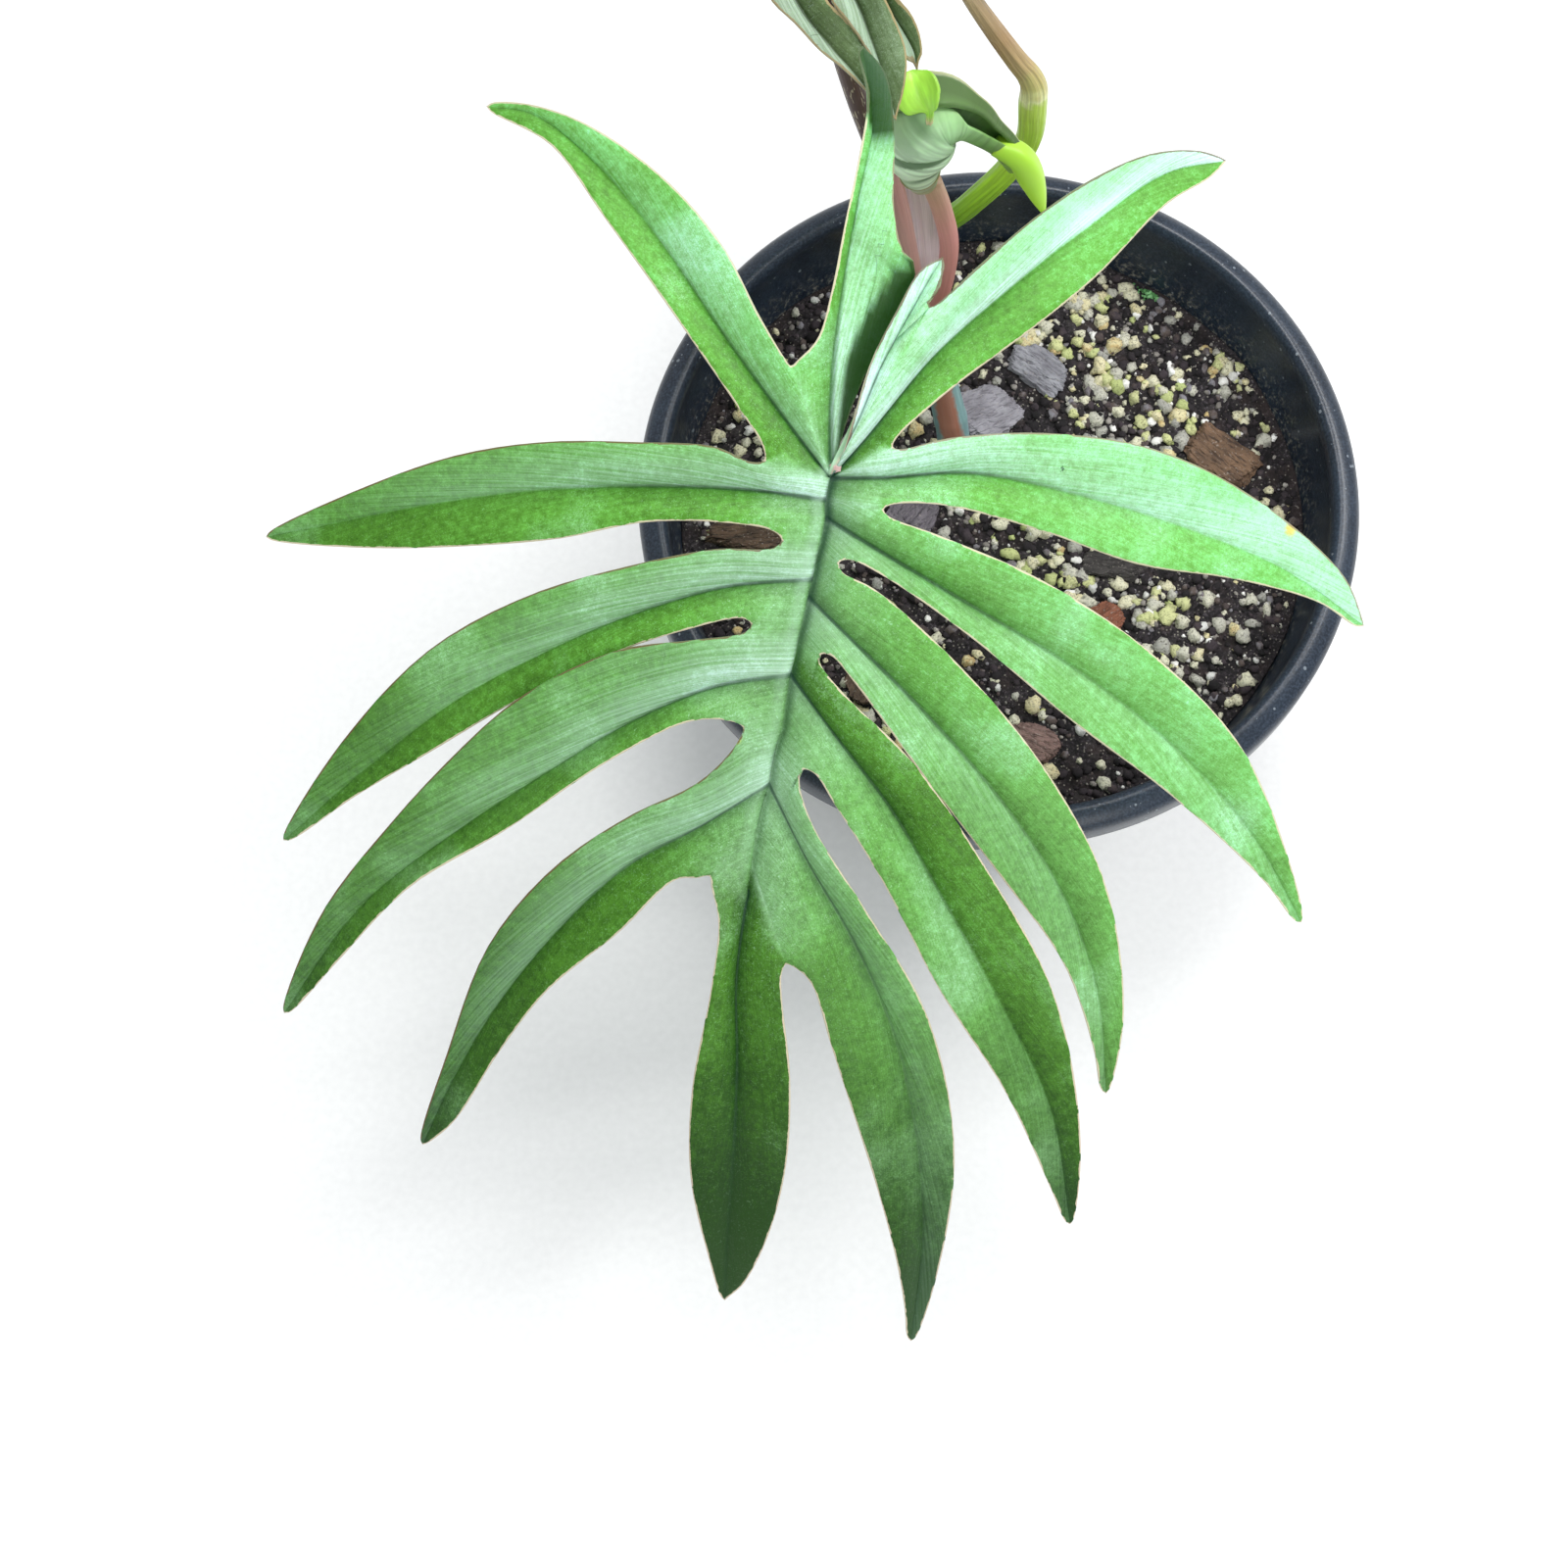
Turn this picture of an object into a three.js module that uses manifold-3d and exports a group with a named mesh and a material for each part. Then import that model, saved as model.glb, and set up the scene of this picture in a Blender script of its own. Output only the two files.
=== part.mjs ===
// Potted philodendron mayoi: a round nursery pot of soil with bark and perlite, a short stem, one
// large deeply cut leaf leaning toward the viewer, an older leaf behind it, a young leaf still
// rolled, and an ageing stalk. Millimetres, +Z up, origin at the centre of the pot's flat base.
import * as THREE from "three";
import { mergeVertices } from "three/addons/utils/BufferGeometryUtils.js";
import Module from "manifold-3d";

const wasm = await Module();
wasm.setup();

// Pot
const SECTORS = 48;
const RIM_RADIUS = 100;
const POT_HEIGHT = 148;
const BASE_RADIUS = 65;
const WALL = 1.8;
const LIP_HEIGHT = 12;
const WALL_TOP_RADIUS = 93.5;
const WALL_HEIGHT = 138;
const DRAIN_HOLES = 8;

// Soil
const SOIL_LEVEL = 126;
const FIT = 0.3;
const GRAINS = 32;

// Leaves
const BLADE_THICK = 0.8;
const TUCK_REACH = 0.55;
const MAIN_ATTACH = [-49, -45, 256];
const MAIN_TILT = 26;
const OLDER_ATTACH = [-56, 81, 295];

const COLOURS = {
  pot: 0x1f242d,
  soil: 0x2a211b,
  mainLeaf: 0x4f8f45,
  olderLeaf: 0x5f7a4a,
  youngLeaf: 0xa9c79a,
  newTip: 0x9fd63c,
  stem: 0x5f7f74,
  mainPetiole: 0x5d7a52,
  burgundy: 0x5a3a36,
  redPetiole: 0xb06a63,
  ageing: 0x9bb53a,
  cataphyll: 0xb7a3a3,
};

// Seeded random numbers, so that the repeats fall the same way every time.
function seeded(seed) {
  let state = seed;
  return () => {
    state = (state * 1664525 + 1013904223) % 4294967296;
    return state / 4294967296;
  };
}

// Closed triangle mesh with only positions, and its solid.
function closed(positions, faces) {
  const geometry = new THREE.BufferGeometry();
  geometry.setAttribute("position", new THREE.Float32BufferAttribute(positions.flat(), 3));
  geometry.setIndex(faces.flat());
  return geometry;
}

function bare(geometry) {
  const copy = geometry.clone();
  copy.deleteAttribute("normal");
  copy.deleteAttribute("uv");
  return mergeVertices(copy, 1e-4);
}

function solid(geometry) {
  const merged = bare(geometry);
  return new wasm.Manifold(new wasm.Mesh({
    numProp: 3,
    vertProperties: new Float32Array(merged.attributes.position.array),
    triVerts: new Uint32Array(merged.index.array),
  }));
}

function shape(manifold) {
  const mesh = manifold.getMesh();
  const geometry = new THREE.BufferGeometry();
  geometry.setAttribute("position", new THREE.Float32BufferAttribute(mesh.vertProperties, 3));
  geometry.setIndex(Array.from(mesh.triVerts));
  return geometry;
}

function vector(point) {
  return new THREE.Vector3(...point);
}

// Smooth curve through points of two or three numbers, as evenly spaced points between two of them.
function spaced(points, first, last, count) {
  const curve = new THREE.CatmullRomCurve3(points.map((p) => new THREE.Vector3(p[0], p[1], p[2] ?? 0)));
  const fine = [];
  const steps = 24 * (last - first);
  for (let i = 0; i <= steps; i += 1) {
    fine.push(curve.getPoint((first + (i / steps) * (last - first)) / (points.length - 1)));
  }
  const path = new THREE.CatmullRomCurve3(fine, false, "catmullrom", 0.5);
  return path.getSpacedPoints(count).map((p) => [p.x, p.y, p.z]);
}

// Sheet of even thickness on both sides of a triangle patch. Each point may carry a rib, which is
// extra thickness on the underside.
function sheet(patch, thick) {
  const count = patch.points.length;
  const normals = patch.points.map(() => new THREE.Vector3());
  const edges = new Map();
  for (const [a, b, c] of patch.faces) {
    const side = vector(patch.points[b]).sub(vector(patch.points[a]));
    const other = vector(patch.points[c]).sub(vector(patch.points[a]));
    const normal = side.cross(other);
    for (const [from, to] of [[a, b], [b, c], [c, a]]) {
      normals[from].add(normal);
      edges.set(`${from} ${to}`, [from, to]);
    }
  }
  const top = [];
  const under = [];
  patch.points.forEach((point, i) => {
    const normal = normals[i].normalize();
    top.push(vector(point).addScaledVector(normal, thick / 2).toArray());
    under.push(vector(point).addScaledVector(normal, -thick / 2 - patch.ribs[i]).toArray());
  });
  const faces = [];
  for (const [a, b, c] of patch.faces) {
    faces.push([a, b, c], [a + count, c + count, b + count]);
  }
  for (const [from, to] of edges.values()) {
    if (!edges.has(`${to} ${from}`)) {
      faces.push([to, from, from + count], [to, from + count, to + count]);
    }
  }
  return closed([...top, ...under], faces);
}

// Collects triangles whose equal corners become one point.
function patchBuilder() {
  const points = [];
  const ribs = [];
  const faces = [];
  const known = new Map();
  const add = (point, rib) => {
    const key = point.map((value) => Math.round(value * 500)).join(" ");
    if (!known.has(key)) {
      known.set(key, points.length);
      points.push(point);
      ribs.push(rib);
    }
    return known.get(key);
  };
  const face = (a, b, c) => {
    if (a !== b && b !== c && a !== c) {
      faces.push([a, b, c]);
    }
  };
  return { points, ribs, faces, add, face };
}

// Cut blade. Every lobe is two half blades between its vein and its outer edge. The outer edge
// runs first along the seam to the sinus and then along the margin to the tip, so that
// neighbouring half blades share the seam. The halves rise away from the vein and the whole
// blade droops with distance from its stalk.
function cutBlade(leaf, thick) {
  const patch = patchBuilder();
  const origin = vector(leaf.attach);
  const place = (s, t, height) => origin.clone()
    .addScaledVector(leaf.right, s)
    .addScaledVector(leaf.along, t)
    .addScaledVector(leaf.up, height - leaf.droop(s, t))
    .toArray();
  const last = leaf.lobes.length - 1;
  const steps = leaf.steps;
  const seamSteps = leaf.seamSteps;

  const halfBlade = (lobe, vein, outer, start, freeSide) => {
    const columns = start.length - 1;
    const grid = [];
    for (let k = 0; k <= steps; k += 1) {
      const row = [];
      const reach = k / steps;
      const rise = leaf.fold * Math.sin(Math.PI * reach ** 0.8);
      const past = Math.max(0, (k - seamSteps) / (steps - seamSteps));
      const sink = lobe.sink ?? 0;
      const veinHeight = -sink * reach ** 1.4;
      const wave = leaf.wave * Math.sin(5.2 * Math.PI * past + lobe.phase) * Math.sin(Math.PI * past);
      const tuck = Math.sin(Math.PI * Math.min(1, reach / TUCK_REACH));
      const freeSink = freeSide ? (lobe.freeSink ?? 0) * tuck : 0;
      const sinkOuter = freeSide ? sink * reach ** 1.4 : sink * past ** 1.4;
      const outerHeight = k === 0 ? 0 : rise + wave - sinkOuter - freeSink;
      for (let j = 0; j <= columns; j += 1) {
        const v = j / columns;
        const bulge = 1 - (1 - v) ** 2;
        let s = vein[k][0] + (outer[k][0] - vein[k][0]) * v;
        let t = vein[k][1] + (outer[k][1] - vein[k][1]) * v;
        if (k === 0) {
          [s, t] = start[j];
        }
        const height = k === 0 ? 0 : veinHeight + (outerHeight - veinHeight) * bulge;
        const rib = j === 0 || k === 0 ? leaf.rib * (1 - reach) ** 0.7 : 0;
        row.push({ s, t, id: patch.add(place(s, t, height), rib) });
      }
      grid.push(row);
    }
    const turn = (p, q, r) => (q.s - p.s) * (r.t - p.t) - (q.t - p.t) * (r.s - p.s);
    const cells = [];
    for (let k = 0; k < steps; k += 1) {
      for (let j = 0; j < columns; j += 1) {
        cells.push([grid[k][j], grid[k + 1][j], grid[k + 1][j + 1], grid[k][j + 1]]);
      }
    }
    const area = cells.reduce((sum, [a, b, c, d]) => sum + turn(a, b, c) + turn(a, c, d), 0);
    for (const [a, b, c, d] of cells) {
      if (area < 0) {
        patch.face(a.id, b.id, c.id);
        patch.face(a.id, c.id, d.id);
      } else {
        patch.face(a.id, c.id, b.id);
        patch.face(a.id, d.id, c.id);
      }
    }
  };

  const between = (from, to) => {
    if (from === to) {
      return [leaf.midrib[from], leaf.midrib[from], leaf.midrib[from]];
    }
    const list = [];
    const step = Math.sign(to - from);
    for (let i = from; i !== to + step; i += step) {
      list.push(leaf.midrib[i]);
    }
    return list;
  };

  // Seam from the midrib to the sinus, then the margin from the sinus to the tip.
  const outerEdge = (gap, chain, sinusAt, tipAt) => {
    const sinus = gap.sinus;
    const start = leaf.midrib[gap.seam];
    const seam = [];
    for (let k = 0; k < seamSteps; k += 1) {
      const f = k / seamSteps;
      seam.push([start[0] + (sinus[0] - start[0]) * f, start[1] + (sinus[1] - start[1]) * f]);
    }
    const way = sinusAt < tipAt ? chain : [...chain].reverse();
    const first = sinusAt < tipAt ? sinusAt : chain.length - 1 - sinusAt;
    const end = sinusAt < tipAt ? tipAt : chain.length - 1 - tipAt;
    const margin = spaced(way, first, end, steps - seamSteps);
    margin[0] = sinus;
    margin[margin.length - 1] = chain[tipAt];
    return [...seam, ...margin];
  };

  // Stations on a line: evenly up to a level, then evenly to the end.
  const stationsOn = (line, level) => {
    const stations = [];
    for (let k = 0; k <= steps; k += 1) {
      const f = k <= seamSteps
        ? (level * k) / seamSteps
        : level + ((1 - level) * (k - seamSteps)) / (steps - seamSteps);
      stations.push(line[Math.round(f * 60)]);
    }
    return stations;
  };

  const lineTo = (start, points, tip) => {
    const line = spaced([start, ...points, tip], 0, points.length + 1, 60);
    line[0] = start;
    line[60] = tip;
    return line;
  };

  // Part of a vein that lies before the nearer sinus beside it.
  const sinusLevel = (line, sinuses) => {
    let level = 0.6;
    for (const sinus of sinuses) {
      const reach = line.map((p) => Math.hypot(p[0] - sinus[0], p[1] - sinus[1]));
      level = Math.min(level, reach.indexOf(Math.min(...reach)) / 60);
    }
    return Math.max(0.12, level);
  };

  leaf.lobes.forEach((lobe, i) => {
    const beside = [leaf.gaps[i - 1], leaf.gaps[i]].filter(Boolean).map((gap) => gap.sinus);
    const veinLine = lineTo(leaf.midrib[lobe.root], lobe.vein, lobe.tip);
    const level = sinusLevel(veinLine, beside);
    const vein = stationsOn(veinLine, level);
    if (i > 0) {
      const before = leaf.lobes[i - 1];
      const gap = leaf.gaps[i - 1];
      const chain = [before.tip, ...[...before.b].reverse(), gap.sinus, ...lobe.a, lobe.tip];
      const outer = outerEdge(gap, chain, before.b.length + 1, chain.length - 1);
      halfBlade(lobe, vein, outer, between(lobe.root, gap.seam), false);
    } else {
      const edge = stationsOn(lineTo(leaf.midrib[0], lobe.a, lobe.tip), level);
      halfBlade(lobe, vein, edge, between(0, 0), true);
    }
    if (i < last) {
      const after = leaf.lobes[i + 1];
      const gap = leaf.gaps[i];
      const chain = [lobe.tip, ...[...lobe.b].reverse(), gap.sinus, ...after.a, after.tip];
      const outer = outerEdge(gap, chain, lobe.b.length + 1, 0);
      halfBlade(lobe, vein, outer, between(lobe.root, gap.seam), false);
    } else {
      const edge = stationsOn(lineTo(leaf.midrib[0], lobe.b, lobe.tip), level);
      halfBlade(lobe, vein, edge, between(0, 0), true);
    }
  });
  return sheet(patch, thick);
}

// Main leaf. Points are [right, toward the tip] in the plane of the blade, from the stalk's end.
// Each lobe has its root on the midrib, its vein, and its two margins from sinus to tip: "a" on
// the side of the lobe listed before it, "b" on the side of the lobe after it. The lobes run from
// the left of the stalk round by the tip to the right of the stalk. The inner edge of the first
// lobe is tucked down under the last one.
const MAIN_MIDRIB = [
  [0, 0], [-1, 5], [-1, 9], [-2, 14], [-3, 18], [-4, 23], [-5, 27], [-6, 32], [-7, 36], [-8, 41],
  [-9, 45], [-10, 52], [-11, 58], [-13, 64], [-14, 71], [-16, 77], [-17, 83], [-18, 90], [-19, 97],
];

const MAIN_LOBES = [
  {
    root: 0, phase: 1, sink: 3, freeSink: 9, tip: [7, -95],
    vein: [[0, -15], [1, -30], [3, -45], [6, -62], [9, -77]],
    a: [[4, -13], [9, -25], [15, -36], [19, -47], [16, -50], [14, -59], [14, -76], [12, -89]],
    b: [[-3, -31], [0, -41], [3, -56], [6, -70], [8, -84]],
  },
  {
    root: 0, phase: 2, sink: 8, tip: [-78, -83],
    vein: [[-10, -13], [-24, -32], [-37, -51], [-52, -69], [-67, -81]],
    a: [[-16, -36], [-24, -51], [-37, -66], [-54, -78], [-67, -83]],
    b: [[-21, -16], [-30, -29], [-40, -43], [-51, -58], [-63, -74]],
  },
  {
    root: 1, phase: 3, sink: 11, tip: [-134, 15],
    vein: [[-15, 3], [-37, 2], [-67, 3], [-95, 7], [-119, 12]],
    a: [[-26, -7], [-44, -8], [-64, -8], [-85, -5], [-109, 3]],
    b: [[-24, 10], [-42, 10], [-62, 14], [-83, 16], [-110, 17]],
  },
  {
    root: 5, phase: 4, sink: 12, tip: [-134, 90],
    vein: [[-24, 25], [-47, 32], [-65, 40], [-87, 52], [-112, 71]],
    a: [[-26, 16], [-46, 20], [-69, 27], [-93, 40], [-116, 63]],
    b: [[-33, 34], [-51, 41], [-72, 52], [-94, 65], [-115, 78]],
  },
  {
    root: 10, phase: 5, sink: 11, tip: [-137, 136],
    vein: [[-26, 48], [-45, 56], [-66, 69], [-88, 84], [-114, 105]],
    a: [[-33, 38], [-51, 46], [-75, 59], [-99, 76], [-124, 107]],
    b: [[-33, 56], [-52, 66], [-76, 83], [-101, 99], [-121, 120]],
  },
  {
    root: 14, phase: 6, sink: 11, tip: [-103, 171],
    vein: [[-29, 81], [-48, 92], [-66, 110], [-82, 131], [-94, 152]],
    a: [[-30, 70], [-47, 79], [-66, 93], [-82, 113], [-95, 145]],
    b: [[-36, 94], [-50, 108], [-68, 124], [-81, 142], [-94, 163]],
  },
  {
    root: 18, phase: 7, sink: 12, tip: [-26, 215],
    vein: [[-22, 120], [-22, 142], [-23, 167], [-25, 194]],
    a: [[-26, 104], [-28, 122], [-33, 149], [-34, 175], [-30, 200]],
    b: [[-11, 124], [-9, 146], [-10, 171], [-14, 191], [-21, 209]],
  },
  {
    root: 14, phase: 8, sink: 12, tip: [23, 228],
    vein: [[-5, 90], [6, 110], [16, 134], [22, 161], [25, 191]],
    a: [[-4, 120], [1, 137], [11, 171], [18, 199], [21, 217]],
    b: [[-4, 80], [9, 102], [24, 129], [32, 167], [29, 206]],
  },
  {
    root: 10, phase: 9, sink: 10, tip: [63, 192],
    vein: [[1, 59], [15, 78], [29, 103], [43, 129], [56, 157]],
    a: [[1, 75], [13, 95], [27, 123], [44, 151], [57, 180]],
    b: [[4, 50], [19, 65], [38, 93], [55, 125], [64, 166]],
  },
  {
    root: 6, phase: 10, sink: 9, tip: [70, 154],
    vein: [[5, 37], [21, 53], [40, 75], [56, 99], [66, 125]],
    a: [[6, 47], [22, 69], [40, 93], [57, 117], [66, 141]],
    b: [[10, 25], [30, 43], [50, 67], [66, 96], [73, 131]],
  },
  {
    root: 2, phase: 11, sink: 9, tip: [117, 110],
    vein: [[12, 17], [32, 29], [58, 45], [82, 64], [103, 87]],
    a: [[12, 22], [32, 36], [56, 56], [81, 75], [106, 98]],
    b: [[25, 13], [48, 23], [74, 40], [98, 64], [113, 95]],
  },
  {
    root: 0, phase: 12, sink: 9, tip: [128, 36],
    vein: [[12, 0], [32, -1], [57, 4], [83, 12], [107, 22]],
    a: [[25, 6], [48, 12], [71, 20], [95, 24], [116, 30]],
    b: [[27, -9], [49, -10], [75, -6], [100, 6], [122, 24]],
  },
  {
    root: 0, phase: 13, sink: 6, tip: [90, -71],
    vein: [[8, -9], [23, -27], [40, -42], [58, -56], [76, -68]],
    a: [[26, -19], [45, -33], [60, -45], [76, -61], [86, -67]],
    b: [[33, -47], [46, -58], [60, -67], [72, -72], [83, -73]],
  },
  {
    root: 0, phase: 14, sink: 1, tip: [25, -49],
    vein: [[6, -12], [11, -24], [17, -35]],
    a: [[24, -42]],
    b: [[3, -6], [5, -13], [9, -26], [14, -36], [20, -46]],
  },
];

// The notches between neighbouring lobes, with the midrib point that each seam comes from.
const MAIN_GAPS = [
  { seam: 0, sinus: [-9, -25] }, { seam: 0, sinus: [-15, -4] },
  { seam: 3, sinus: [-11, 14] }, { seam: 7, sinus: [-18, 33] }, { seam: 12, sinus: [-20, 57] },
  { seam: 16, sinus: [-28, 93] }, { seam: 17, sinus: [-10, 115] }, { seam: 12, sinus: [-6, 67] },
  { seam: 8, sinus: [-2, 40] }, { seam: 4, sinus: [2, 19] }, { seam: 1, sinus: [12, 7] },
  { seam: 0, sinus: [14, -7] }, { seam: 0, sinus: [22, -38] },
];

function mainLeaf(thick) {
  const tilt = THREE.MathUtils.degToRad(MAIN_TILT);
  return cutBlade({
    attach: MAIN_ATTACH,
    right: new THREE.Vector3(1, 0, 0),
    along: new THREE.Vector3(0, -Math.cos(tilt), -Math.sin(tilt)),
    up: new THREE.Vector3(0, -Math.sin(tilt), Math.cos(tilt)),
    droop: (s, t) => (s * s) / 1150 + (t * t) / (t > 0 ? 1350 : 3000),
    fold: 2.6,
    wave: 0.5,
    rib: 1.1,
    steps: 11,
    seamSteps: 3,
    midrib: MAIN_MIDRIB,
    lobes: MAIN_LOBES,
    gaps: MAIN_GAPS,
  }, thick);
}

// Older leaf: the same kind of blade with its lobes set out by rule round the stalk's end. Angles
// are measured from the direction of its tip, negative to its left.
const OLDER_MIDRIB = [[0, 0], [0, 6], [0, 12], [0, 19], [0, 26], [0, 33], [0, 40], [0, 47]];
const BACK_LOBES = [
  {
    root: 0, phase: 0, sink: 14, tip: [-12, -42],
    vein: [[3, -10], [5, -19], [2, -27], [-3, -33], [-8, -38]],
    a: [[5, -6], [11, -16], [9, -25], [1, -33], [-6, -38]],
    b: [[-1, -22], [-2, -28], [-8, -31], [-11, -35], [-12, -39]],
  },
  {
    root: 0, phase: 1, sink: 16, tip: [-17, -46],
    vein: [[-5, -13], [-8, -21], [-11, -27], [-13, -33], [-15, -39]],
    a: [[-4, -22], [-5, -28], [-9, -32], [-12, -36], [-14, -41]],
    b: [[-11, -23], [-13, -28], [-16, -34], [-18, -37], [-18, -41]],
  },
  {
    root: 0, phase: 2, sink: 22, tip: [-24, -30],
    vein: [[-10, -11], [-14, -16], [-17, -21], [-20, -24], [-23, -27]],
    a: [[-11, -19], [-13, -24], [-16, -27], [-19, -29], [-22, -30]],
    b: [[-15, -17], [-18, -22], [-22, -24], [-24, -26], [-25, -28]],
  },
];
const BACK_GAPS = [
  { seam: 0, sinus: [-2, -15] }, { seam: 0, sinus: [-8, -15] }, { seam: 0, sinus: [-12, -11] },
];
const OLDER_LOBES = [
  { root: 0, angle: -86, length: 64, width: 17, bend: -5, sink: 22 },
  { root: 2, angle: -58, length: 78, width: 18, bend: 6, sink: 21 },
  { root: 4, angle: -30, length: 80, width: 18, bend: 7, sink: 20 },
  { root: 7, angle: 3, length: 72, width: 20, bend: 0, sink: 23 },
  { root: 4, angle: 36, length: 78, width: 18, bend: -8, sink: 19 },
  { root: 2, angle: 62, length: 72, width: 18, bend: -6, sink: 17 },
  { root: 0, angle: 92, length: 50, width: 17, bend: 4, sink: 11 },
];
const OLDER_SEAMS = [0, 3, 5, 5, 3, 0];
const NOTCH_REACH = 0.29;
const LOBE_PROFILE = [[0.45, 0.92], [0.62, 1], [0.78, 0.82], [0.92, 0.4]];

function heading(angle) {
  const radians = THREE.MathUtils.degToRad(angle);
  return [Math.sin(radians), Math.cos(radians)];
}

function ruleLobe(lobe, i) {
  const [x, y] = heading(lobe.angle);
  const [s, t] = OLDER_MIDRIB[lobe.root];
  const at = (reach, side) => {
    const across = side + lobe.bend * reach * reach;
    return [s + x * lobe.length * reach + y * across, t + y * lobe.length * reach - x * across];
  };
  const margin = (side) => LOBE_PROFILE.map(([reach, part]) => at(reach, (side * part * lobe.width) / 2));
  return {
    root: lobe.root,
    phase: i,
    sink: lobe.sink,
    tip: at(1, 0),
    vein: [at(0.25, 0), at(0.5, 0), at(0.75, 0)],
    a: margin(-1),
    b: margin(1),
  };
}

function ruleGap(i) {
  const before = OLDER_LOBES[i];
  const after = OLDER_LOBES[i + 1];
  const [x, y] = heading((before.angle + after.angle) / 2);
  const root = OLDER_MIDRIB[OLDER_SEAMS[i]];
  const reach = NOTCH_REACH * Math.min(before.length, after.length);
  return { seam: OLDER_SEAMS[i], sinus: [root[0] + x * reach, root[1] + y * reach] };
}

function olderLeaf(thick) {
  const along = new THREE.Vector3(-0.1, 0.98, -0.15).normalize();
  const right = new THREE.Vector3(-0.98, -0.1, 0).normalize();
  return cutBlade({
    attach: OLDER_ATTACH,
    right,
    along,
    up: along.clone().cross(right),
    droop: (s, t) => (s * s + t * t) / 260,
    fold: 2,
    wave: 0.6,
    rib: 0.9,
    steps: 8,
    seamSteps: 2,
    midrib: OLDER_MIDRIB,
    lobes: [...BACK_LOBES, ...OLDER_LOBES.map(ruleLobe)],
    gaps: [...BACK_GAPS, ...OLDER_SEAMS.map((seam, i) => ruleGap(i))],
  }, thick);
}

// Round stalk along a smooth curve through the points, with a radius for each point.
function stalk(points, radii, rings = 16, sides = 9) {
  const curve = new THREE.CatmullRomCurve3(points.map(vector));
  const frames = curve.computeFrenetFrames(rings, false);
  const positions = [];
  const faces = [];
  for (let i = 0; i <= rings; i += 1) {
    const along = (i / rings) * (radii.length - 1);
    const step = Math.min(radii.length - 2, Math.floor(along));
    const radius = radii[step] + (radii[step + 1] - radii[step]) * (along - step);
    const centre = curve.getPointAt(i / rings);
    for (let j = 0; j < sides; j += 1) {
      const turn = (2 * Math.PI * j) / sides;
      positions.push(centre.clone()
        .addScaledVector(frames.normals[i], radius * Math.cos(turn))
        .addScaledVector(frames.binormals[i], radius * Math.sin(turn))
        .toArray());
    }
  }
  for (let i = 0; i < rings; i += 1) {
    for (let j = 0; j < sides; j += 1) {
      const a = i * sides + j;
      const b = i * sides + ((j + 1) % sides);
      faces.push([a, b, b + sides], [a, b + sides, a + sides]);
    }
  }
  for (let j = 1; j < sides - 1; j += 1) {
    const end = rings * sides;
    faces.push([0, j + 1, j], [end, end + j, end + j + 1]);
  }
  return closed(positions, faces);
}

// Narrow blade or sheath along a line, cupped toward one side.
function strap(points, widths, across, cup, thick, rings = 9, columns = 4) {
  const patch = patchBuilder();
  const curve = new THREE.CatmullRomCurve3(points.map(vector));
  const rows = [];
  for (let i = 0; i <= rings; i += 1) {
    const along = (i / rings) * (widths.length - 1);
    const step = Math.min(widths.length - 2, Math.floor(along));
    const width = widths[step] + (widths[step + 1] - widths[step]) * (along - step);
    const tangent = curve.getTangentAt(i / rings);
    const side = vector(across).addScaledVector(tangent, -vector(across).dot(tangent)).normalize();
    const normal = side.clone().cross(tangent);
    const row = [];
    for (let j = 0; j <= columns; j += 1) {
      const v = (2 * j) / columns - 1;
      row.push(patch.add(curve.getPointAt(i / rings)
        .addScaledVector(side, (v * width) / 2)
        .addScaledVector(normal, cup * width * v * v)
        .toArray(), 0));
    }
    rows.push(row);
  }
  for (let i = 0; i < rings; i += 1) {
    for (let j = 0; j < columns; j += 1) {
      patch.face(rows[i][j], rows[i][j + 1], rows[i + 1][j + 1]);
      patch.face(rows[i][j], rows[i + 1][j + 1], rows[i + 1][j]);
    }
  }
  return sheet(patch, thick);
}

// Young leaf: a blade still rolled into an open scroll, with its free edge standing off as a flap.
const SCROLL_PATH = [
  [-25.5, 43, 235], [-27, 43, 241], [-27.5, 44, 248], [-26, 45, 255], [-22.5, 46.5, 258], [-17, 47, 257],
  [-12, 46, 253], [-7, 45, 248], [-3, 43, 243],
];
const SCROLL_RADII = [4.2, 6.2, 8.6, 9, 7.4, 4.8, 3.2, 2.8, 2.8];
const FLAP_WIDTHS = [0.8, 1, 2, 4.5, 6, 5, 3, 1.5, 1];
const SCROLL_START = 105;
const SCROLL_END = 425;

function lerpList(list, part) {
  const along = part * (list.length - 1);
  const step = Math.min(list.length - 2, Math.floor(along));
  return list[step] + (list[step + 1] - list[step]) * (along - step);
}

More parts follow.
